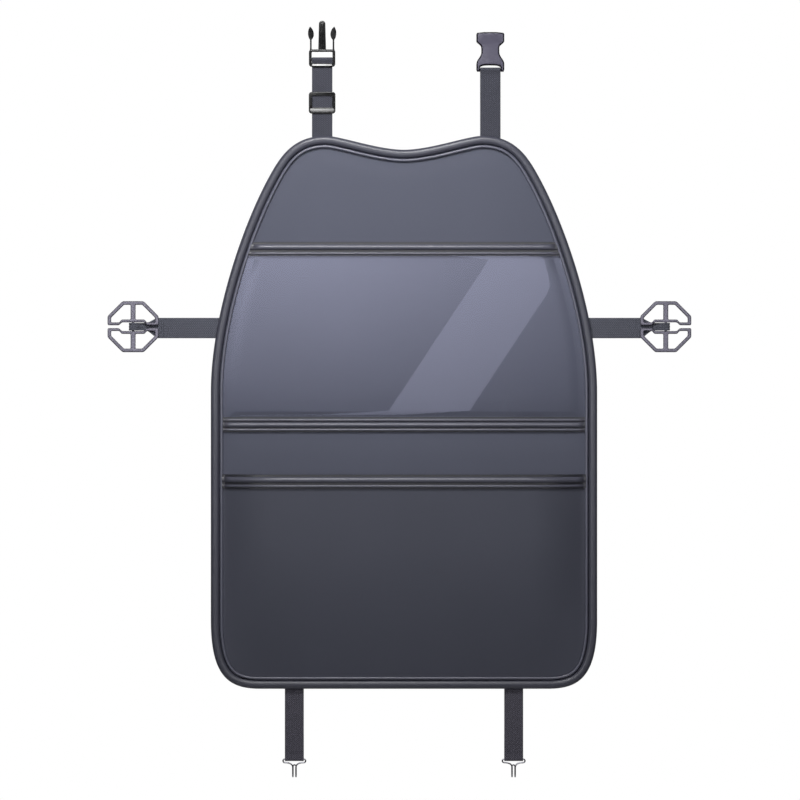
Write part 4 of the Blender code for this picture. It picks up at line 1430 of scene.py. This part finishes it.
def box_rows(spot: Spot, low: float, high: float, width: float, out: float) -> list[list[Vector]]:
    """Box of stitches with a cross in it, on one side of a strap."""
    half = width / 2
    corners = [(-half, low), (half, low), (half, high), (-half, high)]
    ends = [*zip(corners, corners[1:] + corners[:1]), (corners[0], corners[2]), (corners[1], corners[3])]
    return [line(spot, start, end, out, 8) for start, end in ends]


@dataclass(frozen=True)
class Places:
    """Middles of the fittings, as (x, z) or one of the two."""

    top_left: Flat = (-0.1002, 0.4312)
    top_right: Flat = (0.1057, 0.4189)
    slider_z: float = 0.3785
    side_web_z: float = 0.1028
    anchor_z: float = 0.1044
    anchor_x: Flat = (-0.3315, 0.3203)
    hook: Flat = (0.1343, -0.4251)


@dataclass
class Straps(Sewn):
    """Six webbing straps with their stitches."""

    places: Places = Places()
    tuck: float = 0.0137
    drift: float = 0.0026
    folds: float = 0.0003
    top_width: float = 0.025
    bottom_width: float = 0.0232
    left_tail: float = 0.0782
    right_tail: float = 0.035
    bottom_tail: float = 0.03
    male_bar: float = 0.00175
    female_bar: float = 0.0015
    anchor_bar: float = 0.0016
    anchor_half: float = 0.03125
    gathered: float = 0.0094
    gather_start: float = 0.0145
    tail_width: float = 0.022
    side_tail: float = 0.045
    wire: float = 0.0009
    stitch: StitchSize = StitchSize(0.0024, 0.0019, 0.0004)

    def build(self) -> None:
        """Makes all straps."""
        self._top_left()
        self._top_right()
        for make in (self._side, self._bottom):
            for side in Side:
                make(side)

    def _top_left(self) -> None:
        """Left headrest strap, whose free end comes back down through the slider."""
        x, z = self.places.top_left
        thin = self.layers.thin_web
        length = z - self.outline.top + self.tuck
        web = LoopedWeb(length, self.left_tail, self.top_width, thin, self.male_bar)
        item = ribbon("headrest_web_left", web.path(), thin, Spot(x, z, self.layers.top_left_axis, 0.0))
        place(item, "panel", self.palette.webbing, "top_strap_left")

    def _top_right(self) -> None:
        """Right headrest strap, sewn back on itself under the buckle."""
        x, z = self.places.top_right
        length = z - self.outline.top + self.tuck
        web = LoopedWeb(length, self.right_tail, self.top_width, self.layers.web, self.female_bar)
        spot = Spot(x, z, self.layers.loop_axis, 0.0)
        item = ribbon("headrest_web_right", web.path(), self.layers.web, spot)
        place(item, "panel", self.palette.webbing, "top_strap_right")
        back = -self.layers.web - self.layers.gap / 2
        runs = box_rows(spot, -0.031, -0.012, 0.018, back)
        self.stitches.sew("headrest_web_right_box", runs, self.stitch, Slot.WEBBING)

    def _side(self, side: Side) -> None:
        """Side strap, gathered through its anchor."""
        web, bar = self.layers.web, self.anchor_bar
        axis = self.layers.anchor_axis
        radius = bar + self.layers.gap + web / 2
        level = self.layers.web_low + web / 2 - axis
        behind = level - web - self.layers.gap
        x, z = self.places.anchor_x[side is Side.RIGHT], self.places.side_web_z
        length = abs(x) - self.outline.half_at(z, self.tuck)
        wide, narrow, tail = self.top_width, self.gathered, self.tail_width
        edge = -self.anchor_half - self.layers.gap
        start = -self.gather_start
        rise = start + bar * 2
        path = [(-length, level, wide), *eased((-length, level, wide), (edge, level, wide), 14)]
        path += [*eased((edge, level, wide), (start, level, narrow), 10), (rise, level, narrow)]
        path += eased((rise, level, narrow), (-bar, radius, narrow), 8)[:-1]
        bend = arc((0.002, 0), radius, math.pi / 2, -math.pi / 2, 14)
        path += [(along, out, narrow) for along, out in bend]
        path += eased((-bar, -radius, narrow), (start, behind, narrow), 8)
        path += eased((start, behind, narrow), (edge, behind, tail), 10)
        path += eased((edge, behind, tail), (-self.side_tail, behind, tail), 4)
        spot = Spot(x, z, axis, -side.value * math.pi / 2)
        item = ribbon(f"side_web_{side.label}", path, web, spot, self.folds, -side.value * self.drift)
        place(item, "panel", self.palette.side_webbing, f"side_strap_{side.label}")
        runs = box_rows(spot, -0.0435, edge - 0.0015, 0.017, behind - web / 2)
        runs += cross_rows(spot, -0.036, 0.019, 0.0022, level + web / 2)
        self.stitches.sew(f"side_web_{side.label}_tack", runs, self.stitch, Slot.WEBBING)

    def _bottom(self, side: Side) -> None:
        """Bottom strap, sewn back on itself over its hook."""
        web = self.layers.web
        x, z = side.value * self.places.hook[0], self.places.hook[1]
        length = self.outline.bottom + self.tuck - z
        path = LoopedWeb(length, self.bottom_tail, self.bottom_width, web, self.wire).path()
        spot = Spot(x, z, self.layers.loop_axis, math.pi)
        item = ribbon(f"seat_web_{side.label}", path, web, spot)
        place(item, "panel", self.palette.low_webbing, f"bottom_strap_{side.label}")
        runs = box_rows(spot, -0.027, -0.010, 0.017, -web - self.layers.gap / 2)
        runs += cross_rows(spot, -0.0085, 0.0185, 0.0018, web + self.layers.gap / 2)
        self.stitches.sew(f"seat_web_{side.label}_tack", runs, self.stitch, Slot.WEBBING)


# Hard fittings

Corner = tuple[float, float, float]


def rounded(corners: Sequence[Corner], steps: int = 6) -> list[Flat]:
    """Closed outline with eased corners.

    Args:
        corners: Corners as (x, y, reach), where reach is how far before and after it the easing goes.
        steps: Steps in each eased corner.

    Returns:
        The outline's points.
    """
    points = []
    for index, (x, y, reach) in enumerate(corners):
        spot = Vector((x, y))
        if reach == 0:
            points.append((x, y))
            continue
        before = Vector(corners[index - 1][:2])
        after = Vector(corners[(index + 1) % len(corners)][:2])
        start = spot + (before - spot).normalized() * reach
        end = spot + (after - spot).normalized() * reach
        for i in range(steps + 1):
            t = i / steps
            points.append(tuple(start.lerp(spot, t).lerp(spot.lerp(end, t), t)))
    return points


def oblong(left: float, low: float, right: float, high: float, reach: float) -> list[Flat]:
    """Eased rectangle."""
    return rounded([(left, low, reach), (right, low, reach), (right, high, reach), (left, high, reach)])


def mirrored(right: Sequence[Flat]) -> list[Flat]:
    """Outline closed by the mirror image of its right half."""
    return [*right, *((-x, y) for x, y in reversed(right) if x != 0)]


def plate(
    outlines: Sequence[Sequence[Flat]], back: float, front: float, edge: float, steps: int = 4
) -> Piece:
    """Flat shell with round edges.

    Args:
        outlines: Its outer outlines and holes.
        back: Level of its back.
        front: Level of its front.
        edge: Radius of its edges.
        steps: Fineness of the edges.

    Returns:
        The shell, drawn in the XY plane.
    """
    curve = bpy.data.curves.new("shell", "CURVE")
    curve.dimensions = "2D"
    curve.fill_mode = "BOTH"
    curve.extrude = (front - back) / 2 - edge
    curve.bevel_depth = edge
    curve.offset = -edge
    curve.bevel_resolution = steps
    for outline in outlines:
        spline = curve.splines.new("POLY")
        spline.points.add(len(outline) - 1)
        for control, (x, y) in zip(spline.points, outline):
            control.co = (x, y, 0, 1)
        spline.use_cyclic_u = True
    shell = new_object("shell", curve)
    shell.location.z = (back + front) / 2
    return applied(shell)


def sloping_bar(half: float, low: float, high: float, level: float, tilt: float) -> Piece:
    """Cushion on a bar, whose front is turned up towards the lamps.

    Args:
        half: Half its length.
        low: Height of its lower edge.
        high: Height of its upper edge.
        level: Level of its middle.
        tilt: How far its front is turned up.

    Returns:
        The shell, drawn in the XY plane.
    """
    tall = (high - low) / 2
    shell = plate([oblong(-half, -tall, half, tall, tall * 0.8)], -0.0009, 0.0003, 0.0005)
    place_ = Matrix.Translation((0, (low + high) / 2, level)) @ Matrix.Rotation(-tilt, 4, "X")
    shell.data.transform(place_)
    return shell


def rod(radius: float, half: float, upright: bool = False, segments: int = 28) -> Piece:
    """Round bar through the origin, across or upright in the XY plane."""
    shape = bmesh.new()
    bmesh.ops.create_cone(
        shape, cap_ends=True, segments=segments, radius1=radius, radius2=radius, depth=2 * half
    )
    for vertex in shape.verts:
        x, y, z = vertex.co
        vertex.co = (x, z, -y) if upright else (z, y, -x)
    return settled("rod", bpy.data.meshes.new("rod"), shape, False)


def assembled(name: str, shells: Sequence[Piece], centre: Drawn) -> Piece:
    """One piece of several shells, drawn round a place of the panel."""
    shape = bmesh.new()
    for shell in shells:
        shape.from_mesh(shell.data)
        bpy.data.objects.remove(shell)
    for vertex in shape.verts:
        x, z, out = vertex.co
        vertex.co = world((centre[0] + x, centre[1] + z, centre[2] + out))
    return settled(name, bpy.data.meshes.new(name), shape, False)


@dataclass(frozen=True)
class Anchor:
    """Octagonal anchor: two halves of a ring on the bar that holds the webbing."""

    half: float = 0.03125
    frame: float = 0.0045
    spoke: float = 0.0062
    slit: float = 0.0034
    window: float = 0.0105
    reach: float = 0.0139
    slant: float = 0.0031
    rib: float = 0.0036
    bar: float = 0.0016
    thickness: float = 0.0035
    edge: float = 0.0013
    ease: float = 0.0021

    def build(self, name: str, centre: Drawn) -> Piece:
        """Makes the anchor round its centre."""
        half, slit, window = self.half, self.slit / 2, self.window / 2
        corner = half * math.tan(math.pi / 8)
        end = self.reach + self.slant
        soft, hole_soft = self.ease, self.ease * 0.6
        right = [(self.reach, window, soft), (end, slit, soft), (half, slit, soft)]
        right += [(half, corner, soft), (corner, half, soft)]
        upper = right + [(-x, y, soft) for x, y, _ in reversed(right)]
        inner = half - self.frame
        inner_corner = inner * math.tan(math.pi / 8)
        spoke, rib = self.spoke / 2, self.rib
        hole = [(spoke, window + rib), (self.reach, window + rib), (end, slit + rib), (inner, slit + rib)]
        hole += [(inner, inner_corner), (inner_corner, inner), (spoke, inner)]
        outlines = [rounded([(x, sy * y, ease) for x, y, ease in upper]) for sy in (1, -1)]
        for sx, sy in ((1, 1), (1, -1), (-1, 1), (-1, -1)):
            outlines.append(rounded([(sx * x, sy * y, hole_soft) for x, y in hole]))
        ring = plate(outlines, -self.thickness / 2, self.thickness / 2, self.edge)
        return assembled(name, [ring, rod(self.bar, window + rib / 2, upright=True)], centre)


@dataclass(frozen=True)
class Slider:
    """Three-bar slider: its frame lies in front of the webbing and its middle bar behind it."""

    half_width: float = 0.01635
    half_height: float = 0.01335
    top_bar: float = 0.0047
    bottom_bar: float = 0.0076
    window_half: float = 0.0122
    rail: float = 0.0130
    middle_bar: float = 0.005
    tilt: float = math.radians(9)
    level: float = 0.00155
    thickness: float = 0.0017
    edge: float = 0.0007
    ease: float = 0.0042

    def build(self, name: str, centre: Drawn) -> Piece:
        """Makes the slider round its middle."""
        wide, tall, inner = self.half_width, self.half_height, self.window_half
        front = self.level + self.thickness
        outer = oblong(-wide, -tall, wide, tall, self.ease)
        window = oblong(-inner, self.bottom_bar - tall, inner, tall - self.top_bar, 0.001)
        shells = [plate([outer, window], self.level, front, self.edge)]
        rail_tall = tall - self.ease * 0.5
        for left, right in ((-wide, -self.rail), (self.rail, wide)):
            rail = oblong(left, -rail_tall, right, rail_tall, 0.0012)
            shells.append(plate([rail], -front, front - self.edge, self.edge))
        half = self.middle_bar / 2
        bar = oblong(-self.rail - self.edge, -half, self.rail + self.edge, half, 0.0006)
        shells.append(plate([bar], -front, -self.level, self.edge))
        high = self.bottom_bar - tall - 0.0003
        shells.append(sloping_bar(wide - 0.0012, 0.0009 - tall, high, front, self.tilt))
        return assembled(name, shells, centre)


@dataclass(frozen=True)
class MaleBuckle:
    """Prong half of the buckle: its frame, the webbing's bar, the guide and two sprung arms."""

    half_width: float = 0.0162
    rail: float = 0.01265
    low: float = -0.0089
    high: float = 0.0127
    bar_top: float = -0.0049
    crossbar: float = 0.0094
    bar_back: float = 0.00155
    bar_front: float = 0.00435
    rail_back: float = -0.0022
    web_bar: float = 0.00175
    bar_tilt: float = math.radians(15)
    arm_half: float = 0.002
    guide_base: float = 0.0048
    guide_tip: float = 0.0040
    guide_top: float = 0.0479
    rib_half: float = 0.0019
    stem_x: float = 0.01385
    stem_half: float = 0.00105
    head: float = 0.0246
    head_top: Flat = (0.0148, 0.0408)
    edge: float = 0.0012
    gap: float = 0.0003

    def build(self, name: str, centre: Drawn) -> Piece:
        """Makes the buckle half round the axis of its webbing bar."""
        wide, inner = self.half_width, self.rail
        outer = oblong(-wide, self.low, wide, self.high, 0.0042)
        hole = oblong(-inner, self.bar_top, inner, self.crossbar, 0.0015)
        low = self.low + self.edge
        yoke = [(wide, low, 0.0026), (wide, self.high, 0.0042)]
        yoke += [(-x, y, reach) for x, y, reach in reversed(yoke)]
        yoke += [(-inner, low, 0.0006), (-inner, self.crossbar, 0.0015)]
        yoke += [(inner, self.crossbar, 0.0015), (inner, low, 0.0006)]
        arm_half, guide_half = self.gap - self.arm_half, self.gap + self.arm_half
        shells = [
            plate([outer, hole], self.bar_back, self.bar_front, self.edge),
            plate([rounded(yoke)], self.rail_back, self.bar_front - self.gap, self.edge),
            rod(self.web_bar, inner + self.edge),
            plate([mirrored(self._guide())], arm_half, guide_half, self.edge),
            plate([self._rib()], self.gap, guide_half + 0.0008, 0.0007),
            sloping_bar(inner, self.low + 0.0008, self.bar_top + 0.0002, self.bar_front, self.bar_tilt),
        ]
        for side in (1, -1):
            arm = [(side * x, y) for x, y in self._arm()]
            shells.append(plate([arm], self.gap - 0.0015, self.gap + 0.0015, 0.0009))
        return assembled(name, shells, centre)

    def _guide(self) -> list[Flat]:
        """Right half of the guide's outline."""
        tip = arc((0, self.guide_top - self.guide_tip), self.guide_tip, 0, math.pi / 2, 8)
        foot = [(self.guide_base, self.crossbar + self.edge), (self.guide_base, self.high)]
        return [*foot, *tip[:-1], (0, self.guide_top)]

    def _rib(self) -> list[Flat]:
        """Raised rib along the guide."""
        low, high = self.high - self.edge, self.guide_top - 0.003
        return oblong(-self.rib_half, low, self.rib_half, high, 0.0012)

    def _arm(self) -> list[Flat]:
        """Right arm: a thin stem with a leaf-shaped head."""
        out, inside = self.stem_x + self.stem_half, self.stem_x - self.stem_half
        rise = [(out, self.head), (0.0182, 0.0285), (0.0182, 0.0368), self.head_top]
        fall = [self.head_top, (0.0115, 0.0385), (0.0072, 0.0305), (inside, self.head)]
        root = self.high - 2 * self.edge
        stem = [(out + 0.0006, root), (out, self.high + 0.0015)]
        foot = [(inside, self.high + 0.0015), (inside - 0.0006, root)]
        return [*stem, *curve_points(rise, 14), *curve_points(fall, 14)[1:], *foot]


@dataclass(frozen=True)
class FemaleBuckle:
    """Socket half of the buckle: a hollow body with a waist, arched over its webbing bar."""

    wide: float = 0.0171
    waist: float = 0.0110
    ear: float = 0.0127
    foot: float = -0.00215
    thickness: float = 0.0104
    wall: float = 0.0017
    socket_side: float = 0.0134
    socket_base: float = 0.0095
    top: Flat = (0.0461, 0.0452)
    web_bar: float = 0.0015
    edge: float = 0.0021

    def build(self, name: str, centre: Drawn) -> Piece:
        """Makes the buckle half round the axis of its webbing bar."""
        wide, waist, ear = self.wide, self.waist, self.ear
        arch = curve_points([(0, 0.0056), (0.0080, 0.0056), (0.0125, 0.0050), (ear, 0.0022)], 12)
        flare = curve_points([(wide, 0.0068), (wide, 0.0128), (waist, 0.0152), (waist, 0.0222)], 14)
        neck = curve_points([(waist, 0.0262), (waist, 0.0312), (0.0141, 0.0302), (wide, 0.0345)], 10)
        high, corner = self.top
        right = [*arch, (ear, self.foot), (wide - 0.0008, self.foot), (wide, 0.0002), *flare, *neck]
        right += [(wide, corner - 0.0016), (wide - 0.0011, corner), (0.0075, high), (0.0, high)]
        half = self.thickness / 2
        body = self._hollowed(plate([mirrored(right)], -half, half, self.edge, 6), high)
        return assembled(name, [body, rod(self.web_bar, ear + self.wall)], centre)

    def _hollowed(self, body: Piece, high: float) -> Piece:
        """The body with its socket, open at the top and at both sides of the waist."""
        deep = self.thickness / 2 - self.wall
        side = self.socket_side
        outline = oblong(-side, self.socket_base, side, high + self.wall, 0.0012)
        socket = plate([outline], -deep, deep, 0.0008)
        cut = body.modifiers.new("socket", "BOOLEAN")
        cut.operation = "DIFFERENCE"
        cut.solver = "EXACT"
        cut.object = socket
        hollow = applied(body)
        bpy.data.objects.remove(socket)
        return hollow


@dataclass
class Fittings:
    """Buckle halves, slider, anchors and hooks."""

    palette: Palette
    layers: Layers
    places: Places = Places()

    def build(self) -> None:
        """Makes the moulded fittings and dresses the wire hooks."""
        places, left_axis = self.places, self.layers.top_left_axis
        item = Slider().build("three_bar_slider", (places.top_left[0], places.slider_z, left_axis))
        place(item, "slider", self.palette.black, "strap_slider")
        item = MaleBuckle().build("buckle_prongs", (*places.top_left, left_axis))
        place(item, "buckle_male", self.palette.black, "male_buckle")
        socket = FemaleBuckle().build("buckle_socket", (*places.top_right, self.layers.loop_axis))
        place(mark_rim(socket), "buckle_female", self.palette.grey, "female_buckle")
        for side, x in zip(Side, places.anchor_x):
            label = side.label
            item = Anchor().build(f"seat_anchor_{label}", (x, places.anchor_z, self.layers.anchor_axis))
            node = f"side_anchor_{label}"
            place(mark_rim(item), f"anchor_{label}", self.palette.anchor, node)
            dress(FRAME["nodes"][f"hook_{label}"], self.palette.steel.material)


# Studio


@dataclass
class Studio:
    """Camera, lamps, world, reflector card and floor."""

    pixel: float = 0.001225
    frame: int = 800
    middle: Flat = (404.0, 412.0)
    distance: float = 4.2
    sensor: float = 36.0
    floor_z: float = -0.56
    floor_reach: float = 2.5
    floor_fade: Flat = (0.62, 0.95)
    floor_glow: float = 0.45
    ambient: float = 0.05
    card_distance: float = 1.0
    card_sides: Flat = (-0.8, 0.6)
    card_seen: Flat = (-0.05, 0.21)
    card_top: float = 0.4
    card_fade: float = 0.36
    card_middle: float = -0.3
    card_spill: Flat = (0.2, 0.95)
    card_glow: float = 3.5
    streak_seen: Flat = (0.0845, 0.083)
    streak_width: float = 0.082
    streak_length: float = 1.4
    streak_turn: float = math.radians(33.5)
    streak_power: float = 0.58

    def build(self) -> None:
        """Makes the studio."""
        right, down = (place_ - self.frame / 2 for place_ in self.middle)
        self.eye = Vector((-right * self.pixel, -self.distance, down * self.pixel))
        self._camera()
        self._world()
        self._floor()
        self._lamp("key", (-0.15, -0.9, 0.95), (0.5, 0.3), 13.3, (-0.05, 0.0, 0.28), 40)
        self._lamp("front", (-0.3, -2.2, 1.5), (1.0, 0.4), 8.6, (0.0, 0.0, 0.25), 22)
        self._lamp("left", (-1.15, -2.2, 0.3), (0.35, 0.9), 7.9, (0.0, 0.0, 0.16), 23)
        self._lamp("right", (1.15, -2.2, 0.3), (0.35, 0.9), 6.2, (0.0, 0.0, 0.16), 23)
        self._lamp("back", (0.3, 1.6, 0.6), (1.2, 1.2), 10.0, (0.0, 0.0, 0.0))
        self._streak()
        self._card()

    def _camera(self) -> None:
        """Long lens straight in front, framed as the photograph is."""
        data = bpy.data.cameras.new("camera")
        data.sensor_width = self.sensor
        data.lens = self.sensor * self.distance / (self.pixel * self.frame)
        data.clip_end = 100.0
        camera = new_object("camera", data)
        camera.location = self.eye
        camera.rotation_euler = (math.pi / 2, 0, 0)
        bpy.context.scene.camera = camera

    def _lamp(
        self, name: str, spot: Drawn, size: Flat, power: float, aim: Drawn, beam: float = 90.0
    ) -> Piece:
        """Rectangular soft light turned to a point.

        Args:
            name: Name of the lamp.
            spot: Its place.
            size: Its width and height.
            power: Power that it would need without a grid.
            aim: Point that it is turned to.
            beam: Degrees to each side that its grid lets through.

        Returns:
            The lamp.
        """
        half = math.radians(beam)
        data = bpy.data.lights.new(name, "AREA")
        data.shape = "RECTANGLE"
        data.size, data.size_y = size
        data.spread = 2 * half
        data.energy = power * (1 - half / math.tan(half))
        lamp = new_object(name, data)
        lamp.location = spot
        lamp.rotation_euler = (Vector(aim) - Vector(spot)).to_track_quat("-Z", "Y").to_euler()
        return lamp

    def _mirrored(self, x: float, z: float) -> Vector:
        """Where the card's plane is seen in a flat mirror at a place of the panel."""
        share = self.card_distance / self.distance
        return Vector((x + (x - self.eye.x) * share, -self.card_distance, z + (z - self.eye.z) * share))

    def _streak(self) -> None:
        """Slanting strip light that the clear window mirrors."""
        share = (self.distance + self.card_distance) / self.distance
        size = (self.streak_width * share, self.streak_length)
        centre = self._mirrored(*self.streak_seen) + Vector((0.0, 0.03, 0.0))
        lamp = self._lamp("streak", centre, size, self.streak_power, centre + Vector((0.0, 1.0, 0.0)))
        lamp.rotation_euler = (math.pi / 2, self.streak_turn, 0)

    def _card(self) -> None:
        """Card that only reflections show: bright above, fading out towards its foot and sides."""
        low, high = (self._mirrored(0.0, z).z for z in self.card_seen)
        left, right = self.card_sides
        corners = [(left, low), (right, low), (right, self.card_top), (left, self.card_top)]
        points = [(x, -self.card_distance, z) for x, z in corners]
        card = mesh_object("reflector_card", points, [(0, 1, 2, 3)], False)
        pad = NodePad(bpy.data.materials.new("card_glow"))
        across, _, up = pad.node("SeparateXYZ", None, _0=pad.coordinate("Object")).outputs
        fade = pad.ramp(up, high, self.card_fade, 1.0, 0.0)
        upright = pad.math("MULTIPLY", pad.ramp(up, low, high), fade)
        off = pad.math("ABSOLUTE", pad.math("SUBTRACT", across, self.card_middle))
        sides = pad.ramp(off, *self.card_spill, self.card_glow, 0.0)
        lit = pad.node("Emission", None, Strength=pad.math("MULTIPLY", upright, sides))
        clear = pad.node("BsdfTransparent")
        pad.surface(pad.node("AddShader", None, _0=lit.outputs[0], _1=clear.outputs[0]))
        dress(card, pad.owner)
        card.visible_camera = False
        card.visible_diffuse = False
        card.visible_transmission = False
        card.visible_shadow = False

    def _world(self) -> None:
        """Dark room in front, and a white backdrop behind the object."""
        sky = bpy.data.worlds.new("studio")
        bpy.context.scene.world = sky
        pad = NodePad(sky)
        path = pad.node("LightPath").outputs
        _, depth, _ = pad.node("SeparateXYZ", None, _0=pad.coordinate("Generated")).outputs
        bent = pad.math("MAXIMUM", path["Is Glossy Ray"], path["Is Transmission Ray"])
        behind = pad.math("MULTIPLY", bent, pad.ramp(depth, 0.5, 1.0))
        seen = pad.math("MAXIMUM", path["Is Camera Ray"], behind)
        plain = pad.tree.nodes["Background"]
        pad.feed(plain.inputs["Color"], (1, 1, 1, 1))
        pad.feed(plain.inputs["Strength"], pad.math("MAXIMUM", seen, self.ambient))

    def _floor(self) -> None:
        """Pale floor under the hooks, which fades into the white backdrop."""
        signs = ((-1, -1), (1, -1), (1, 1), (-1, 1))
        points = [(x * self.floor_reach, y * self.floor_reach, self.floor_z) for x, y in signs]
        floor = mesh_object("floor", points, [(0, 1, 2, 3)], False)
        pad = NodePad(bpy.data.materials.new("pale_floor"))
        seen = pad.node("LightPath").outputs["Is Camera Ray"]
        lit = pad.node("Emission", None, Strength=pad.math("MULTIPLY", seen, self.floor_glow))
        matt = pad.node("BsdfDiffuse", None, Color=(0.8, 0.8, 0.8, 1))
        added = pad.node("AddShader", None, _0=matt.outputs[0], _1=lit.outputs[0])
        far = pad.node("VectorMath", {"operation": "LENGTH"}, _0=pad.coordinate("Object"))
        near, end = self.floor_fade
        soft = {"interpolation_type": "SMOOTHSTEP"}
        fade = pad.node("MapRange", soft, _0=far.outputs["Value"], _1=near, _2=end)
        ends = {"_1": added.outputs[0], "_2": pad.node("BsdfTransparent").outputs[0]}
        pad.surface(pad.node("MixShader", None, _0=fade.outputs[0], **ends))
        dress(floor, pad.owner)


def clear_scene() -> None:
    """Removes what Blender starts with."""
    for leftover in list(bpy.data.objects):
        bpy.data.objects.remove(leftover)


def main() -> None:
    """Builds the dressed organizer and its studio."""
    logging.basicConfig(level=logging.INFO, format="%(name)s: %(message)s")
    bpy.context.scene.view_settings.view_transform = "Standard"
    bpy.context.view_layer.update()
    palette = Palette()
    stitches = StitchTree(palette.thread)
    outline = PanelOutline()
    layers = Layers()
    kit = {"outline": outline, "layers": layers, "palette": palette, "stitches": stitches}
    SewnPanel(**kit).build()
    WindowPocket(
        **kit,
        cloth=FILM,
        mouth=0.2079,
        bottom=-0.0241,
        flat=0.0179,
        bow=0.0010,
        shoulder=0.014,
        foot=0.003,
    ).build()
    LowerPocket(
        **kit,
        cloth=POCKET,
        mouth=-0.0762,
        bottom=outline.bottom + layers.pocket_inset,
        flat=0.002,
        bow=0.018,
        shoulder=0.065,
        foot=0.16,
        wave=0.0003,
    ).build()
    Straps(**kit).build()
    Fittings(palette, layers).build()
    Studio().build()


clear_scene()
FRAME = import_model()

if __name__ == "__main__":
    main()
